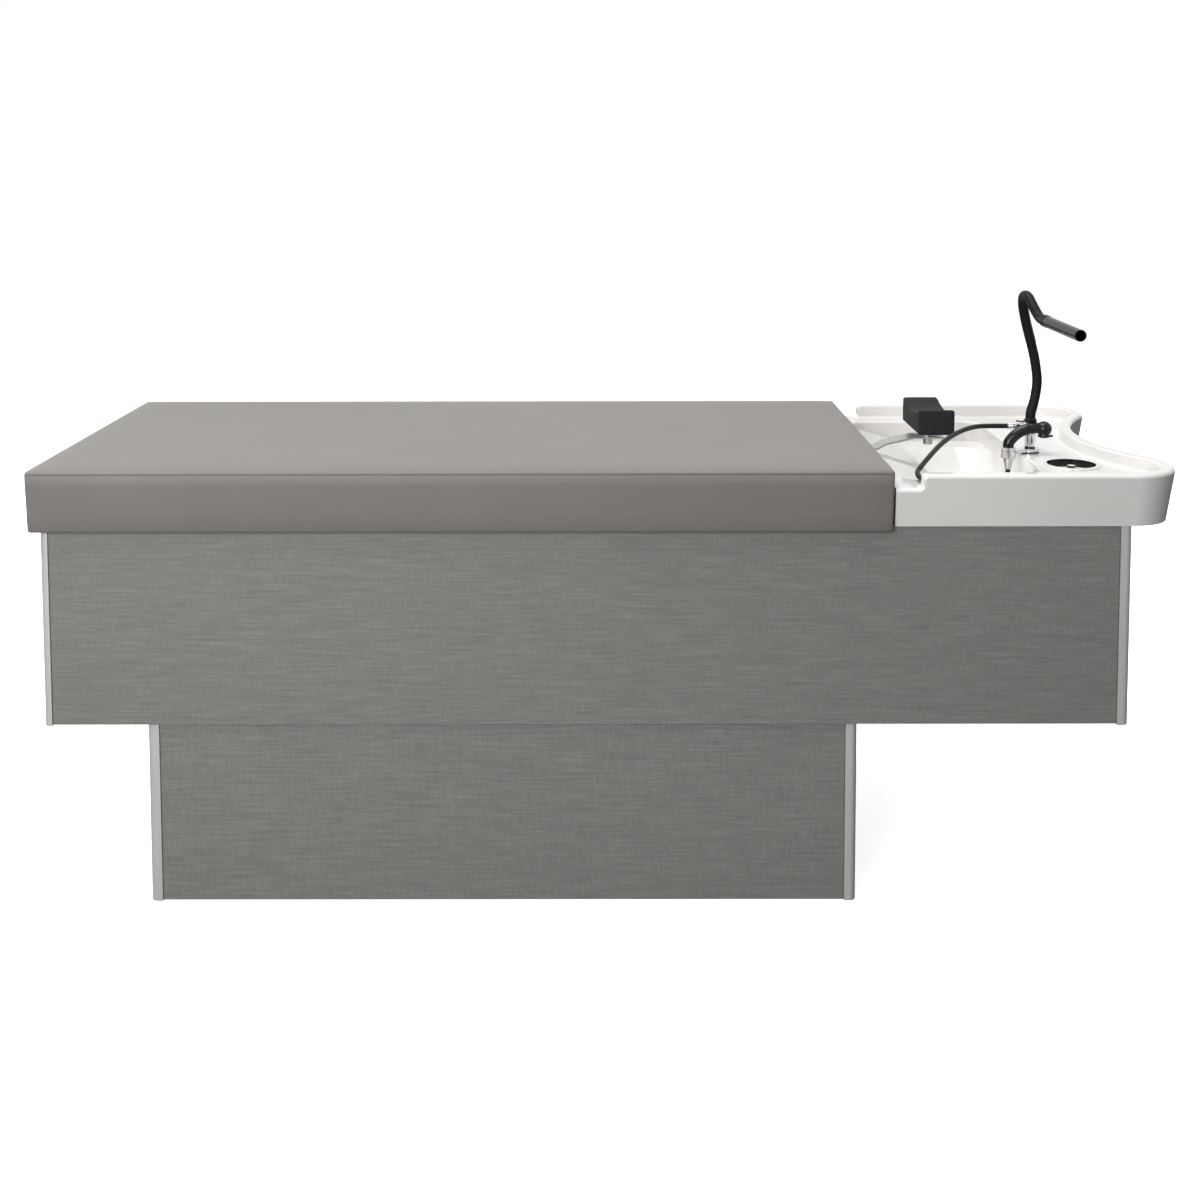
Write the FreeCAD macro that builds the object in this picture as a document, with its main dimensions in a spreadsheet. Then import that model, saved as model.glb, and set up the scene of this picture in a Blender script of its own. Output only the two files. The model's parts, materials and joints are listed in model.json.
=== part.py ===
"""Backwash unit: a padded treatment bed on a stepped cabinet, with a wash basin at its head end.

Frame: X runs from the foot (-X) to the basin (+X), -Y is the long front, Z is up.
The origin is on the floor, under the middle of the overall box. Lengths are millimetres.
"""
import FreeCAD, Part
import math
import os
import Sketcher
from FreeCAD import Placement, Rotation, Vector

doc = FreeCAD.newDocument("backwash_unit")
sheet = doc.addObject("Spreadsheet::Sheet", "Sizes")

# Driving dimensions
SIZES = {
    # bed and cabinet
    "bed_length": 1450, "bed_width": 700, "mattress_thickness": 100, "mattress_crown": 6,
    "mattress_edge_radius": 6, "mattress_draw": 4, "deck_height": 650, "foot_overhang": 18,
    "side_overhang": 15,
    "head_overhang": 89, "cabinet_drop": 340, "plinth_offset": 191, "plinth_setback": 56,
    "plinth_inset": 4, "board": 16, "panel_recess": 1.5, "floor_gap": 2,
    "post_width": 20, "foot_post_width": 14, "post_radius": 11, "bearer_width": 30, "bearer_height": 40,
    # basin
    "bed_gap": 2, "basin_length": 488, "skirt_height": 90, "skirt_draft": 14, "skirt_wall": 14,
    "deck_thickness": 11, "bowl_toe": 12, "bowl_corner": 70, "bowl_floor_corner": 50, "tray_corner": 30,
    "notch_round": 8, "rim_end_round": 9, "rim_inner_round": 4, "tray_round": 5, "ledge_round": 5,
    "cut_margin": 2,
    "basin_corner": 85, "horn_radius": 60, "horn_flat": 26, "bay_depth": 77, "rim_thickness": 24,
    "rim_height": 24, "rim_round": 7, "notch_length": 44, "lip_width": 22, "tray_depth": 40,
    "tray_margin": 78, "ramp_drop": 10, "ramp_length": 96, "bowl_depth": 44, "bowl_shoulder": 67,
    "bowl_length": 190, "bowl_slope": 62, "tap_deck_length": 204, "shell": 10, "waste_radius": 21,
    # tap
    "tap_offset": 183, "tap_side": 42, "holder_reach": 47, "holder_forward": 26, "tap_plate": 5.5,
    "tap_gasket": 2.5, "gasket_inset": 0.6, "plate_radius": 17, "ring_radius": 14, "ring_height": 12,
    "web_width": 17,
    "column_radius": 10, "column_height": 30, "column_line": 18, "foot_ring": 3.5, "groove": 0.7,
    "shank_radius": 7, "shank_length": 52, "tee_height": 15, "arm_radius": 6.5, "arm_length": 20,
    "inlet_width": 18, "inlet_height": 20, "boss_radius": 7.5, "boss_length": 10, "lever_radius": 2.4,
    "lever_length": 20, "nut_circumradius": 8, "hex_height": 8, "ferrule_length": 15,
    "spout_collar": 7, "neck_radius": 9, "joint_rib": 3, "nozzle_length": 150, "nozzle_radius": 10.2,
    "nozzle_bore": 8.4, "nozzle_depth": 60, "hose_diameter": 9,
    # handset
    "sleeve_radius": 8.5, "sleeve_length": 34, "collar_radius": 13, "collar_height": 6.5,
    "handle_radius": 10,
    "head_radius": 14, "head_drop": 11, "face_radius": 8.2, "face_depth": 5, "selector_radius": 11,
    "selector_depth": 3.5, "selector_tab": 6,
    # head support and overflow
    "pad_width": 66, "pad_length": 156, "pad_height": 46, "pad_scoop": 12, "pad_offset": 124,
    "pad_shoulder": 12, "pad_round": 4, "strip_rise": 24, "pad_travel": 12, "strip_width": 44,
    "strip_thickness": 3, "strip_reach": 4, "strip_ahead": 26, "knee_back": 83, "knee_drop": 12,
    "knee_run": 52, "spacer_radius": 14, "spacer_height": 14,
    "slot_width": 9, "stud_radius": 4, "clamp_radius": 9, "clamp_height": 13, "screw_inset": 8,
    "screw_spacing": 28,
    "screw_radius": 2.5, "screw_length": 12, "screw_head": 4.5, "screw_cap": 2.5,
    "cup_radius": 46.5, "cup_depth": 32, "cup_wall": 3.5, "cup_flange": 2, "cup_offset": 141,
    "cup_side": 158,
    "seat_depth": 16, "cover_thickness": 4, "cover_slot_start": 14, "cover_knob": 7,
    "cover_knob_height": 11,
    # plumbing
    "waste_flange": 3, "waste_wall": 3, "flange_width": 8, "tail_length": 60, "sieve_thickness": 2,
    "sieve_knob": 5,
    "sieve_knob_height": 9, "sieve_slot": 3, "slot_margin": 2, "nut_wall": 11, "tap_nut_wall": 3.5,
    "nut_height": 8,
    "trap_radius": 34, "trap_wall": 4, "trap_depth": 70, "trap_shoulder": 90, "trap_socket": 20,
    "trap_stub": 16,
    "overflow_radius": 9, "overflow_rise": 60, "overflow_bend": 40,
    "pipe_radius": 20, "pipe_bore": 18, "pipe_bend": 60, "pipe_offset": 90, "pipe_rise": 110,
    "pipe_low": 25,
    "spigot_radius": 16, "spigot_length": 45, "cuff_overlap": 30,
    "supply_radius": 6, "supply_side": 45, "supply_bend": 45, "supply_low": 25, "hole_clearance": 2,
    "bulkhead_back": 4, "clearance": 0.3,
}
# The sub-parts, by the body that carries each of them
NODES = """
cabinet_corner_posts cabinet_front_panel cabinet_back_panel cabinet_foot_panel cabinet_head_panel
plinth_corner_posts plinth_front_panel plinth_back_panel plinth_foot_panel plinth_head_panel
cabinet_floor bulkhead mattress_board deck_bearers plinth_stretchers mattress basin
waste_outlet waste_strainer waste_locknut bottle_trap waste_pipe waste_spigot
tap_gasket tap_plate column_ring tap_column tap_locknut tap_tee inlet_block hot_supply_hose cold_supply_hose
mixer_lever hose_nut hose_ferrule spout_collar gooseneck nozzle_joint nozzle
handset_sleeve handset_handle spray_face spray_selector shower_hose
neckrest_strip neckrest_screws neck_pad pad_clamp
overflow_cup overflow_strainer overflow_knob overflow_hose
""".split()
for row, (alias, value) in enumerate(SIZES.items(), 1):
    sheet.set("A%d" % row, alias.replace("_", " "))
    sheet.set("B%d" % row, str(value))
    sheet.setAlias("B%d" % row, alias)
doc.recompute()


class Dim:
    """A length together with the sheet expression that drives it."""

    def __init__(self, value, text):
        self.value = value
        self.text = text

    @staticmethod
    def of(other):
        return other if isinstance(other, Dim) else Dim(float(other), repr(float(other)))

    def __add__(self, other):
        other = Dim.of(other)
        return Dim(self.value + other.value, "(%s + %s)" % (self.text, other.text))

    def __sub__(self, other):
        other = Dim.of(other)
        return Dim(self.value - other.value, "(%s - %s)" % (self.text, other.text))

    def __mul__(self, factor):
        return Dim(self.value * factor, "(%s * %r)" % (self.text, float(factor)))

    def __neg__(self):
        return self * -1

    __radd__ = __add__
    __rmul__ = __mul__


def size(alias):
    return Dim(float(sheet.get(alias)), "Sizes." + alias)


def mm(alias):
    return float(sheet.get(alias))


def bind(thing, name, dim):
    thing.setExpression(name, Dim.of(dim).text)


def place(thing, x, y, z):
    for axis, dim in zip("xyz", (x, y, z)):
        bind(thing, "Placement.Base." + axis, dim)


def box(label, x, y, z):
    """A board from its low and high edges along each axis."""
    board = doc.addObject("Part::Box", label)
    board.Label = label
    place(board, x[0], y[0], z[0])
    for name, edges in zip(("Length", "Width", "Height"), (x, y, z)):
        bind(board, name, Dim.of(edges[1]) - edges[0])
    return board


def cylinder(label, radius, low, high, x, y):
    """An upright rod or hole."""
    rod = doc.addObject("Part::Cylinder", label)
    rod.Label = label
    bind(rod, "Radius", radius)
    bind(rod, "Height", Dim.of(high) - low)
    place(rod, x, y, low)
    return rod


def boolean(kind, label, base, tool):
    result = doc.addObject("Part::" + kind, label)
    result.Label = label
    result.Base = base
    result.Tool = tool
    return result


def group(label, members):
    together = doc.addObject("Part::Compound", label)
    together.Label = label
    together.Links = members
    return together


def plane(body, role):
    return [item for item in body.Origin.OriginFeatures if item.Role == role][0]


def polygon(body, name, role, points):
    """A closed sketch whose corners are each held at driven distances from the origin."""
    sketch = body.newObject("Sketcher::SketchObject", name)
    sketch.AttachmentSupport = [(plane(body, role), "")]
    sketch.MapMode = "FlatFace"
    corners = [(Dim.of(a), Dim.of(b)) for a, b in points]
    count = len(corners)
    for i in range(count):
        (a, b), (c, d) = corners[i], corners[(i + 1) % count]
        start, end = Vector(a.value, b.value, 0), Vector(c.value, d.value, 0)
        sketch.addGeometry(Part.LineSegment(start, end), False)
    for i in range(count):
        sketch.addConstraint(Sketcher.Constraint("Coincident", i, 2, (i + 1) % count, 1))
    for i, corner in enumerate(corners):
        for kind, dim in zip(("DistanceX", "DistanceY"), corner):
            at = sketch.addConstraint(Sketcher.Constraint(kind, -1, 1, i, 1, dim.value))
            sketch.setExpression("Constraints[%d]" % at, dim.text)
    return sketch


def new_body(label):
    body = doc.addObject("PartDesign::Body", label)
    body.Label = label
    return body


def pad(label, role, points, length):
    body = new_body(label)
    feature = body.newObject("PartDesign::Pad", label + "_pad")
    feature.Profile = polygon(body, label + "_outline", role, points)
    bind(feature, "Length", length)
    return body


def turned(label, points, x, y, z, toward=(0, 0, 1)):
    """A lathe-turned piece from (radius, height) points along its axis, which is upright or turned toward."""
    body = new_body(label)
    feature = body.newObject("PartDesign::Revolution", label + "_turn")
    sketch = polygon(body, label + "_profile", "XZ_Plane", points)
    feature.Profile = sketch
    feature.ReferenceAxis = (sketch, ["V_Axis"])
    feature.Angle = 360
    body.Placement.Rotation = Rotation(Vector(0, 0, 1), Vector(*toward))
    place(body, x, y, z)
    return body


def fixed(label, shape):
    """A sub-part whose solid is worked out here from the sheet's values."""
    feature = doc.addObject("Part::Feature", label)
    feature.Label = label
    feature.Shape = shape
    return feature


def upright(body, test):
    """Names of a body's vertical edges whose middle passes the test."""
    doc.recompute()
    names = []
    for i, edge in enumerate(body.Shape.Edges, 1):
        ends = [v.Point for v in edge.Vertexes]
        if len(ends) == 2 and (ends[0] - ends[1]).cross(Vector(0, 0, 1)).Length < 0.01:
            if test((ends[0] + ends[1]) * 0.5):
                names.append("Edge%d" % i)
    return names


def rounded(body, edges, radius):
    tip = body.Tip
    fillet = body.newObject("PartDesign::Fillet", body.Label + "_round")
    fillet.Base = (tip, edges)
    bind(fillet, "Radius", radius)
    return body


def tube(points, radius, bend, bore=0.0):
    """A pipe along straight runs joined by tangent arcs of one bend radius."""
    path = route(points, [bend] * (len(points) - 2))
    solid = sweep(path, radius)
    return solid.cut(sweep(path, bore)) if bore else solid


def route(points, radii):
    """Straight runs joined by tangent arcs, one radius for each inner point."""
    points = [Vector(*p) for p in points]
    edges, start = [], points[0]
    for before, corner, after, radius in zip(points, points[1:], points[2:], radii):
        back = (before - corner).normalize()
        ahead = (after - corner).normalize()
        half = (math.pi - back.getAngle(ahead)) / 2
        reach = radius * math.tan(half)
        first, last = corner + back * reach, corner + ahead * reach
        middle = (back + ahead).normalize()
        centre = corner + middle * (radius / math.cos(half))
        edges.append(Part.LineSegment(start, first).toShape())
        edges.append(Part.Arc(first, centre - middle * radius, last).toShape())
        start = last
    edges.append(Part.LineSegment(start, points[-1]).toShape())
    return Part.Wire(edges)


def sweep(path, radius):
    first = path.Edges[0]
    start = first.valueAt(first.FirstParameter)
    ring = Part.Wire(Part.makeCircle(radius, start, first.tangentAt(first.FirstParameter)))
    return path.makePipeShell([ring], True, False)


# Where the main pieces stand
foot_x = (size("bed_length") + size("bed_gap") + size("basin_length")) * -0.5
bed_end = foot_x + size("bed_length")
basin_x = bed_end + size("bed_gap")
basin_end = basin_x + size("basin_length")
half_bed = size("bed_width") * 0.5
deck_z = size("deck_height")
cabinet_x = foot_x + size("foot_overhang")
cabinet_end = basin_end - size("head_overhang")
half_cabinet = half_bed - size("side_overhang")
cabinet_z = deck_z - size("cabinet_drop")
plinth_x = foot_x + size("plinth_offset")
plinth_end = bed_end - size("plinth_setback")
half_plinth = half_cabinet - size("plinth_inset")
rim_z = deck_z + size("skirt_height")
ledge_z = rim_z - size("rim_height")
tray_z = ledge_z - size("tray_depth")
bowl_z = tray_z - size("bowl_depth")
board = size("board")
gap = size("clearance")


# Stepped cabinet: boards held between rounded corner posts
def corner_post(label, x, x_side, y, y_side, width, low, high):
    """A corner profile whose outer corner is rounded; the sides are +1 or -1 away from the room inside."""
    depth = size("post_width")
    inner_x, inner_y = x - width * x_side, y - depth * y_side
    corners = [(x, y), (inner_x, y), (inner_x, inner_y), (x, inner_y)]
    body = pad(label, "XY_Plane", corners, Dim.of(high) - low)
    bind(body, "Placement.Base.z", low)
    outer = Vector(x.value, y.value, 0)
    edges = upright(body, lambda p: (Vector(p.x, p.y, 0) - outer).Length < 1)
    return rounded(body, edges, size("post_radius"))


def box_of_boards(name, x0, x1, half, low, high, first_post, post_low):
    """Four corner posts with front, back and end panels between them."""
    posts = []
    width = size("post_width")
    for y_side in (-1, 1):
        posts.append(corner_post("%s_post_foot%d" % (name, y_side + 1), x0, -1, half * y_side, y_side,
                                 first_post, post_low, high))
        posts.append(corner_post("%s_post_head%d" % (name, y_side + 1), x1, 1, half * y_side, y_side,
                                 width, post_low, high))
    group(name + "_corner_posts", posts)
    face = half - size("panel_recess")
    box(name + "_front_panel", (x0 + first_post, x1 - width), (-face, -face + board), (low, high))
    box(name + "_back_panel", (x0 + first_post, x1 - width), (face - board, face), (low, high))
    inner = half - width
    foot_face, head_face = x0 + size("panel_recess"), x1 - size("panel_recess")
    box(name + "_foot_panel", (foot_face, foot_face + board), (-inner, inner), (low, high))
    return box(name + "_head_panel", (head_face - board, head_face), (-inner, inner), (low, high))


box_of_boards("cabinet", cabinet_x, cabinet_end, half_cabinet, cabinet_z, deck_z,
              size("foot_post_width"), cabinet_z - size("floor_gap"))
box_of_boards("plinth", plinth_x, plinth_end, half_plinth, size("floor_gap"), cabinet_z,
              size("post_width"), Dim.of(0))

# Boards inside: cabinet floor, mattress deck on two bearers, bulkhead under the bed's end
inside = half_cabinet - size("panel_recess") - board
inside_x = cabinet_x + size("panel_recess") + board
floor_top = cabinet_z + board
bulkhead_x = bed_end - board - size("bulkhead_back")
pipe_x = plinth_end - size("pipe_offset")
pipe_z = floor_top + size("pipe_rise")
supply_y = [-size("supply_side"), -size("supply_side") * 2]


def drilled(label, board_shape, holes):
    """A board with round holes; the holes are joined into one tool first."""
    return boolean("Cut", label, board_shape, group(label + "_holes", holes))


floor_holes = [cylinder("floor_waste_hole", size("pipe_radius") + size("hole_clearance"), cabinet_z - 1,
                        floor_top + 1, pipe_x, 0)]
for i, y in enumerate(supply_y):
    floor_holes.append(cylinder("floor_supply_hole%d" % i, size("supply_radius") + size("hole_clearance"),
                                cabinet_z - 1,
                                floor_top + 1, pipe_x, y))
drilled("cabinet_floor", box("floor_blank", (inside_x, cabinet_end - size("post_width")), (-inside, inside),
                             (cabinet_z, floor_top)), floor_holes)
bulkhead_holes = [cylinder("bulkhead_waste_hole", size("pipe_radius") + size("hole_clearance"), 0,
                           board + 2, 0, 0)]
for i in range(len(supply_y)):
    bulkhead_holes.append(cylinder("bulkhead_supply_hole%d" % i,
                                   size("supply_radius") + size("hole_clearance"), 0, board + 2, 0, 0))
for hole, y in zip(bulkhead_holes, [Dim.of(0)] + supply_y):
    hole.Placement.Rotation = Rotation(Vector(0, 1, 0), 90)
    place(hole, bulkhead_x - 1, y, pipe_z)
drilled("bulkhead", box("bulkhead_blank", (bulkhead_x, bulkhead_x + board), (-inside, inside),
                        (floor_top, deck_z - board)), bulkhead_holes)
box("mattress_board", (inside_x, bulkhead_x + board), (-inside, inside), (deck_z - board, deck_z))
bearers = []
bearer_inner = inside - size("bearer_width")
for name, y in (("front", (-inside, -bearer_inner)), ("back", (bearer_inner, inside))):
    bearers.append(box("bearer_" + name, (inside_x, bulkhead_x), y,
                       (deck_z - board - size("bearer_height"), deck_z - board)))
group("deck_bearers", bearers)
plinth_inside = half_plinth - size("panel_recess") - board
stretchers = []
for i in (1, 2):
    x = plinth_x + (plinth_end - plinth_x) * (i / 3)
    stretchers.append(box("stretcher%d" % i, (x, x + board), (-plinth_inside, plinth_inside),
                          (size("floor_gap"), cabinet_z)))
group("plinth_stretchers", stretchers)


# Mattress: firm slab with a slightly crowned top, sides that draw in towards its board and rounded edges
def crowned_slab(half_length, half_width, low, edge, crown, draw, radius):
    """The room under two shallow arches, one along the bed and one across it."""
    def arch(half, across, along):
        def at(a, z):
            return Vector(a, -across, z) if along else Vector(-across, a, z)

        sides = [at(-half, edge), at(draw - half, low), at(half - draw, low), at(half, edge)]
        edges = [Part.LineSegment(a, b).toShape() for a, b in zip(sides, sides[1:])]
        edges.append(Part.Arc(sides[3], at(0, edge + crown), sides[0]).toShape())
        run = Vector(0, 2 * across, 0) if along else Vector(2 * across, 0, 0)
        return Part.Face(Part.Wire(edges)).extrude(run)

    slab = arch(half_length, half_width, True).common(arch(half_width, half_length, False))
    return slab.makeFillet(radius, slab.Edges)


mattress_edge = mm("mattress_thickness") - mm("mattress_crown")
mattress = fixed("mattress", crowned_slab(mm("bed_length") / 2, mm("bed_width") / 2, 0, mattress_edge,
                                          mm("mattress_crown"), mm("mattress_draw"),
                                          mm("mattress_edge_radius")))
mattress.Placement = Placement(Vector((foot_x + size("bed_length") * 0.5).value, 0, deck_z.value),
                               Rotation())


# Basin: a moulded tray with a raised rim, two horns round a bay for the stylist, a neck ramp and a bowl
def basin_outline(z, inset, low_x):
    """The plan outline at one height, drawn in by an inset on every side but the bed's."""
    half, end = half_bed.value - inset, basin_end.value - inset
    corner, horn, depth = mm("basin_corner") - inset, mm("horn_radius") - inset, mm("bay_depth")
    corner_x, corner_y = basin_end.value - mm("basin_corner"), half_bed.value - mm("basin_corner")
    # the bay's arc touches both horns, which end a short flat before the corners
    horn_x, horn_y = basin_end.value - mm("horn_radius"), corner_y - mm("horn_flat")
    bay = (horn_y ** 2 + depth ** 2) / (2 * depth) - horn
    bay_x = basin_end.value - depth + bay - inset
    slant = math.atan2(horn_y, bay_x - horn_x)
    meet_x, meet_y = horn_x + horn * math.cos(slant), horn_y - horn * math.sin(slant)
    diagonal = math.sqrt(0.5)

    def at(x, y):
        return Vector(x, y, z)

    def side(sign):
        return [
            Part.LineSegment(at(low_x, sign * half), at(corner_x, sign * half)),
            Part.Arc(at(corner_x, sign * half),
                     at(corner_x + corner * diagonal, sign * (corner_y + corner * diagonal)),
                     at(end, sign * corner_y)),
            Part.LineSegment(at(end, sign * corner_y), at(end, sign * horn_y)),
            Part.Arc(at(end, sign * horn_y),
                     at(horn_x + horn * math.cos(slant / 2), sign * (horn_y - horn * math.sin(slant / 2))),
                     at(meet_x, sign * meet_y)),
        ]

    bay_arc = Part.Arc(at(meet_x, -meet_y), at(bay_x - bay, 0), at(meet_x, meet_y))
    bed_side = Part.LineSegment(at(low_x, half), at(low_x, -half))
    curves = side(-1) + [bay_arc] + side(1)[::-1] + [bed_side]
    return Part.Wire(Part.__sortEdges__([curve.toShape() for curve in curves]))


def prism(wire, height):
    return Part.Face(wire).extrude(Vector(0, 0, height))


def rounded_rectangle(x0, x1, half, radius, z):
    block = Part.makeBox(x1 - x0, 2 * half, 1, Vector(x0, -half, z))
    corners = [e for e in block.Edges if e.BoundBox.ZLength > 0.5]
    rounded_block = block.makeFillet(radius, corners)
    return [w for f in rounded_block.Faces for w in f.Wires if w.BoundBox.ZMax < z + 0.01][0]


def edges_at(shape, z, test=lambda edge: True):
    level = [e for e in shape.Edges if abs(e.BoundBox.ZMin - z) < 0.01 and e.BoundBox.ZLength < 0.01]
    return [e for e in level if test(e)]


def mouth(solid, room, z):
    """The edges at one height where a room opens into a solid."""
    def on_it(edge):
        middle = Part.Vertex(edge.valueAt(sum(edge.ParameterRange) / 2))
        return room.distToShape(middle)[0] < 0.01

    return edges_at(solid, z, on_it)


def side_view(x, end, low, rim, ledge):
    """The room under the basin's outline seen from the front: a rim that steps down to the neck's lip."""
    step, half = x + mm("notch_length"), mm("bed_width")
    hollow, crest = mm("notch_round"), mm("rim_end_round")
    diagonal = math.sqrt(0.5)

    def at(a, c):
        return Vector(a, -half, c)

    corners = [at(step + crest, rim), at(end + margin, rim), at(end + margin, low), at(x, low),
               at(x, ledge), at(step - hollow, ledge)]
    edges = [Part.LineSegment(a, b).toShape() for a, b in zip(corners, corners[1:])]
    foot, top = at(step, ledge + hollow), at(step, rim - crest)
    edges.append(Part.Arc(corners[-1], at(step - hollow * (1 - diagonal), ledge + hollow * (1 - diagonal)),
                          foot).toShape())
    edges.append(Part.LineSegment(foot, top).toShape())
    edges.append(Part.Arc(top, at(step + crest * (1 - diagonal), rim - crest * (1 - diagonal)),
                          corners[0]).toShape())
    return Part.Face(Part.Wire(Part.__sortEdges__(edges))).extrude(Vector(0, 2 * half, 0))


def basin_shape():
    x, end = basin_x.value, basin_end.value
    low, rim, ledge, tray, bowl = deck_z.value, rim_z.value, ledge_z.value, tray_z.value, bowl_z.value
    shell, draft, wall = mm("shell"), mm("skirt_draft"), mm("skirt_wall")
    deck_end = end - mm("tap_deck_length")
    toe, corner, floor_corner = mm("bowl_toe"), mm("bowl_corner"), mm("bowl_floor_corner")
    lip_x = x + mm("lip_width")
    half_tray = half_bed.value - mm("tray_margin")
    half_bowl = half_tray - mm("bowl_shoulder")
    over_rim = basin_outline(rim + margin, -draft * margin / (rim - low), x)
    skirt = Part.makeLoft([basin_outline(low, draft, x), over_rim], True, True)
    skirt = skirt.common(side_view(x, end, low, rim, ledge))
    outer = [e for e in skirt.Edges if e.BoundBox.ZMin > ledge - 1 and e.BoundBox.XMax > x + 1
             and e.BoundBox.YLength < mm("bed_width") * 0.9]
    skirt = skirt.makeFillet(mm("rim_round"), outer)
    # hollow underside, higher under the tap deck
    hollow = prism(basin_outline(low - margin, draft + wall, x + wall), tray - shell - low + margin)
    under_deck = prism(basin_outline(tray - shell - margin, draft + wall, deck_end + shell),
                       ledge - mm("deck_thickness") - tray + shell + margin)
    # bowl, outside and inside
    bowl_x = deck_end - mm("bowl_length")
    slope = mm("bowl_slope")

    def bowl_loft(grow, low_z):
        top = rounded_rectangle(bowl_x - grow, deck_end + grow, half_bowl + grow, corner + grow, tray)
        floor = rounded_rectangle(bowl_x + slope - grow, deck_end - toe + grow, half_bowl - slope + grow,
                                  floor_corner + grow, low_z)
        return Part.makeLoft([top, floor], True, True)

    solid = skirt.cut(hollow).cut(under_deck).fuse(bowl_loft(shell, bowl - shell))
    # room inside the rim, neck ramp and tray
    inner = prism(basin_outline(ledge, mm("rim_thickness"), x - margin), rim - ledge + margin)
    inner = inner.makeFillet(mm("ledge_round"), edges_at(inner, ledge, lambda e: e.BoundBox.XMax > x))
    ramp = [(lip_x, rim + margin), (lip_x, ledge - mm("ramp_drop")), (lip_x + mm("ramp_length"), tray),
            (deck_end, tray), (deck_end, rim + margin)]
    corners = [Vector(a, -half_tray, b) for a, b in ramp]
    tray_room = Part.Face(Part.makePolygon(corners + corners[:1])).extrude(Vector(0, 2 * half_tray, 0))
    upright_edges = [e for e in tray_room.Edges if e.BoundBox.ZLength > 20
                     and e.BoundBox.XLength < 0.1 and e.BoundBox.YLength < 0.1]
    tray_room = tray_room.makeFillet(mm("tray_corner"), upright_edges)
    solid = solid.cut(inner)
    solid = solid.makeFillet(mm("rim_inner_round"), mouth(solid, inner, rim)).cut(tray_room)
    solid = solid.makeFillet(mm("tray_round"), mouth(solid, tray_room, ledge)).cut(bowl_loft(0, bowl))
    for hole in basin_holes():
        solid = solid.cut(hole)
    return solid.removeSplitter()


def basin_holes():
    """Waste outlet, tap shank, overflow cup and the neck rest's two screws."""
    deep = mm("skirt_height")
    rounds = [(mm("waste_radius"), waste_x, Dim.of(0), bowl_z),
              (mm("shank_radius") + mm("clearance"), tap_x, tap_y, ledge_z),
              (mm("cup_radius") + mm("clearance"), cup_x, cup_y, ledge_z)]
    holes = []
    for radius, x, y, z in rounds:
        holes.append(Part.makeCylinder(radius, deep, Vector(x.value, y.value, z.value - deep / 2)))
    screw_deep = mm("screw_length") + mm("clearance")
    for side in (-1, 1):
        foot = Vector(screw_x.value, screw_y.value * side, ledge_z.value - screw_deep)
        holes.append(Part.makeCylinder(mm("screw_radius") + mm("clearance"), 2 * screw_deep, foot))
    return holes


margin = mm("cut_margin")
tap_x = basin_end - size("tap_offset")
tap_y = -size("tap_side")
holder_x, holder_y = tap_x - size("holder_reach"), tap_y - size("holder_forward")
cup_x, cup_y = basin_end - size("cup_offset"), -size("cup_side")
deck_x = basin_end - size("tap_deck_length")
waste_x = deck_x - (size("bowl_length") - size("bowl_slope") + size("bowl_toe")) * 0.5
screw_x = basin_x + size("screw_inset")
screw_y = size("screw_spacing") * 0.5
fixed("basin", basin_shape())

# Waste: flanged outlet with a lift-out strainer, lock nut, bottle trap and pipe down to the plinth
tail = size("waste_radius") - gap
tail_bore = tail - size("waste_wall")
tail_low = -size("tail_length")
flange = size("waste_flange")
flange_radius = size("waste_radius") + size("flange_width")
turned("waste_outlet", [(tail_bore, tail_low), (tail, tail_low), (tail, 0), (flange_radius, 0),
                        (flange_radius, flange), (tail_bore, flange)], waste_x, 0, bowl_z)
sieve_radius, sieve_top = flange_radius - size("waste_wall"), size("sieve_thickness")
knob, knob_top = size("sieve_knob"), size("sieve_knob_height")
sieve_z = bowl_z + flange + gap


def slotted(label, plate, count, x, y, low, high, inner, outer, width):
    """A round plate with narrow slots set round its middle."""
    blades = []
    for i in range(count):
        blade = box("%s_slot%d" % (label, i), (inner, outer), (width * -0.5, width * 0.5), (low, high))
        turn = Placement(Vector(), Rotation(Vector(0, 0, 1), 360.0 * i / count))
        spoke = doc.addObject("Part::Compound", "%s_spoke%d" % (label, i))
        spoke.Links = [blade]
        spoke.Placement = turn
        place(spoke, x, y, 0)
        blades.append(spoke)
    return boolean("Cut", label, plate, group(label + "_slots", blades))


sieve_plate = turned("waste_strainer_plate",
                     [(0, 0), (sieve_radius, 0), (sieve_radius, sieve_top), (knob, sieve_top),
                      (knob, knob_top), (0, knob_top)], waste_x, 0, sieve_z)
slotted("waste_strainer", sieve_plate, 10, waste_x, 0, sieve_z - margin, sieve_z + sieve_top + margin,
        knob + size("slot_margin"), tail_bore, size("sieve_slot"))
nut_radius, nut_height = tail + size("nut_wall"), size("nut_height")
turned("waste_locknut", [(tail + gap, -nut_height), (nut_radius, -nut_height), (nut_radius, 0),
                         (tail + gap, 0)], waste_x, 0, bowl_z - size("shell"))
trap_low = pipe_z - size("trap_depth")
shoulder = size("trap_depth") + size("trap_shoulder")
trap_top = bowl_z - size("tail_length") + size("trap_socket") - trap_low
jar, trap_wall = size("trap_radius"), size("trap_wall")
socket = tail + gap
neck = socket + trap_wall
trap_jar = turned("trap_jar", [(0, 0), (jar, 0), (jar, shoulder), (neck, shoulder), (neck, trap_top),
                               (socket, trap_top), (socket, shoulder - trap_wall),
                               (jar - trap_wall, shoulder - trap_wall), (jar - trap_wall, trap_wall),
                               (0, trap_wall)], waste_x, 0, trap_low)
inlet_z = pipe_z + size("overflow_rise")


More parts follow.
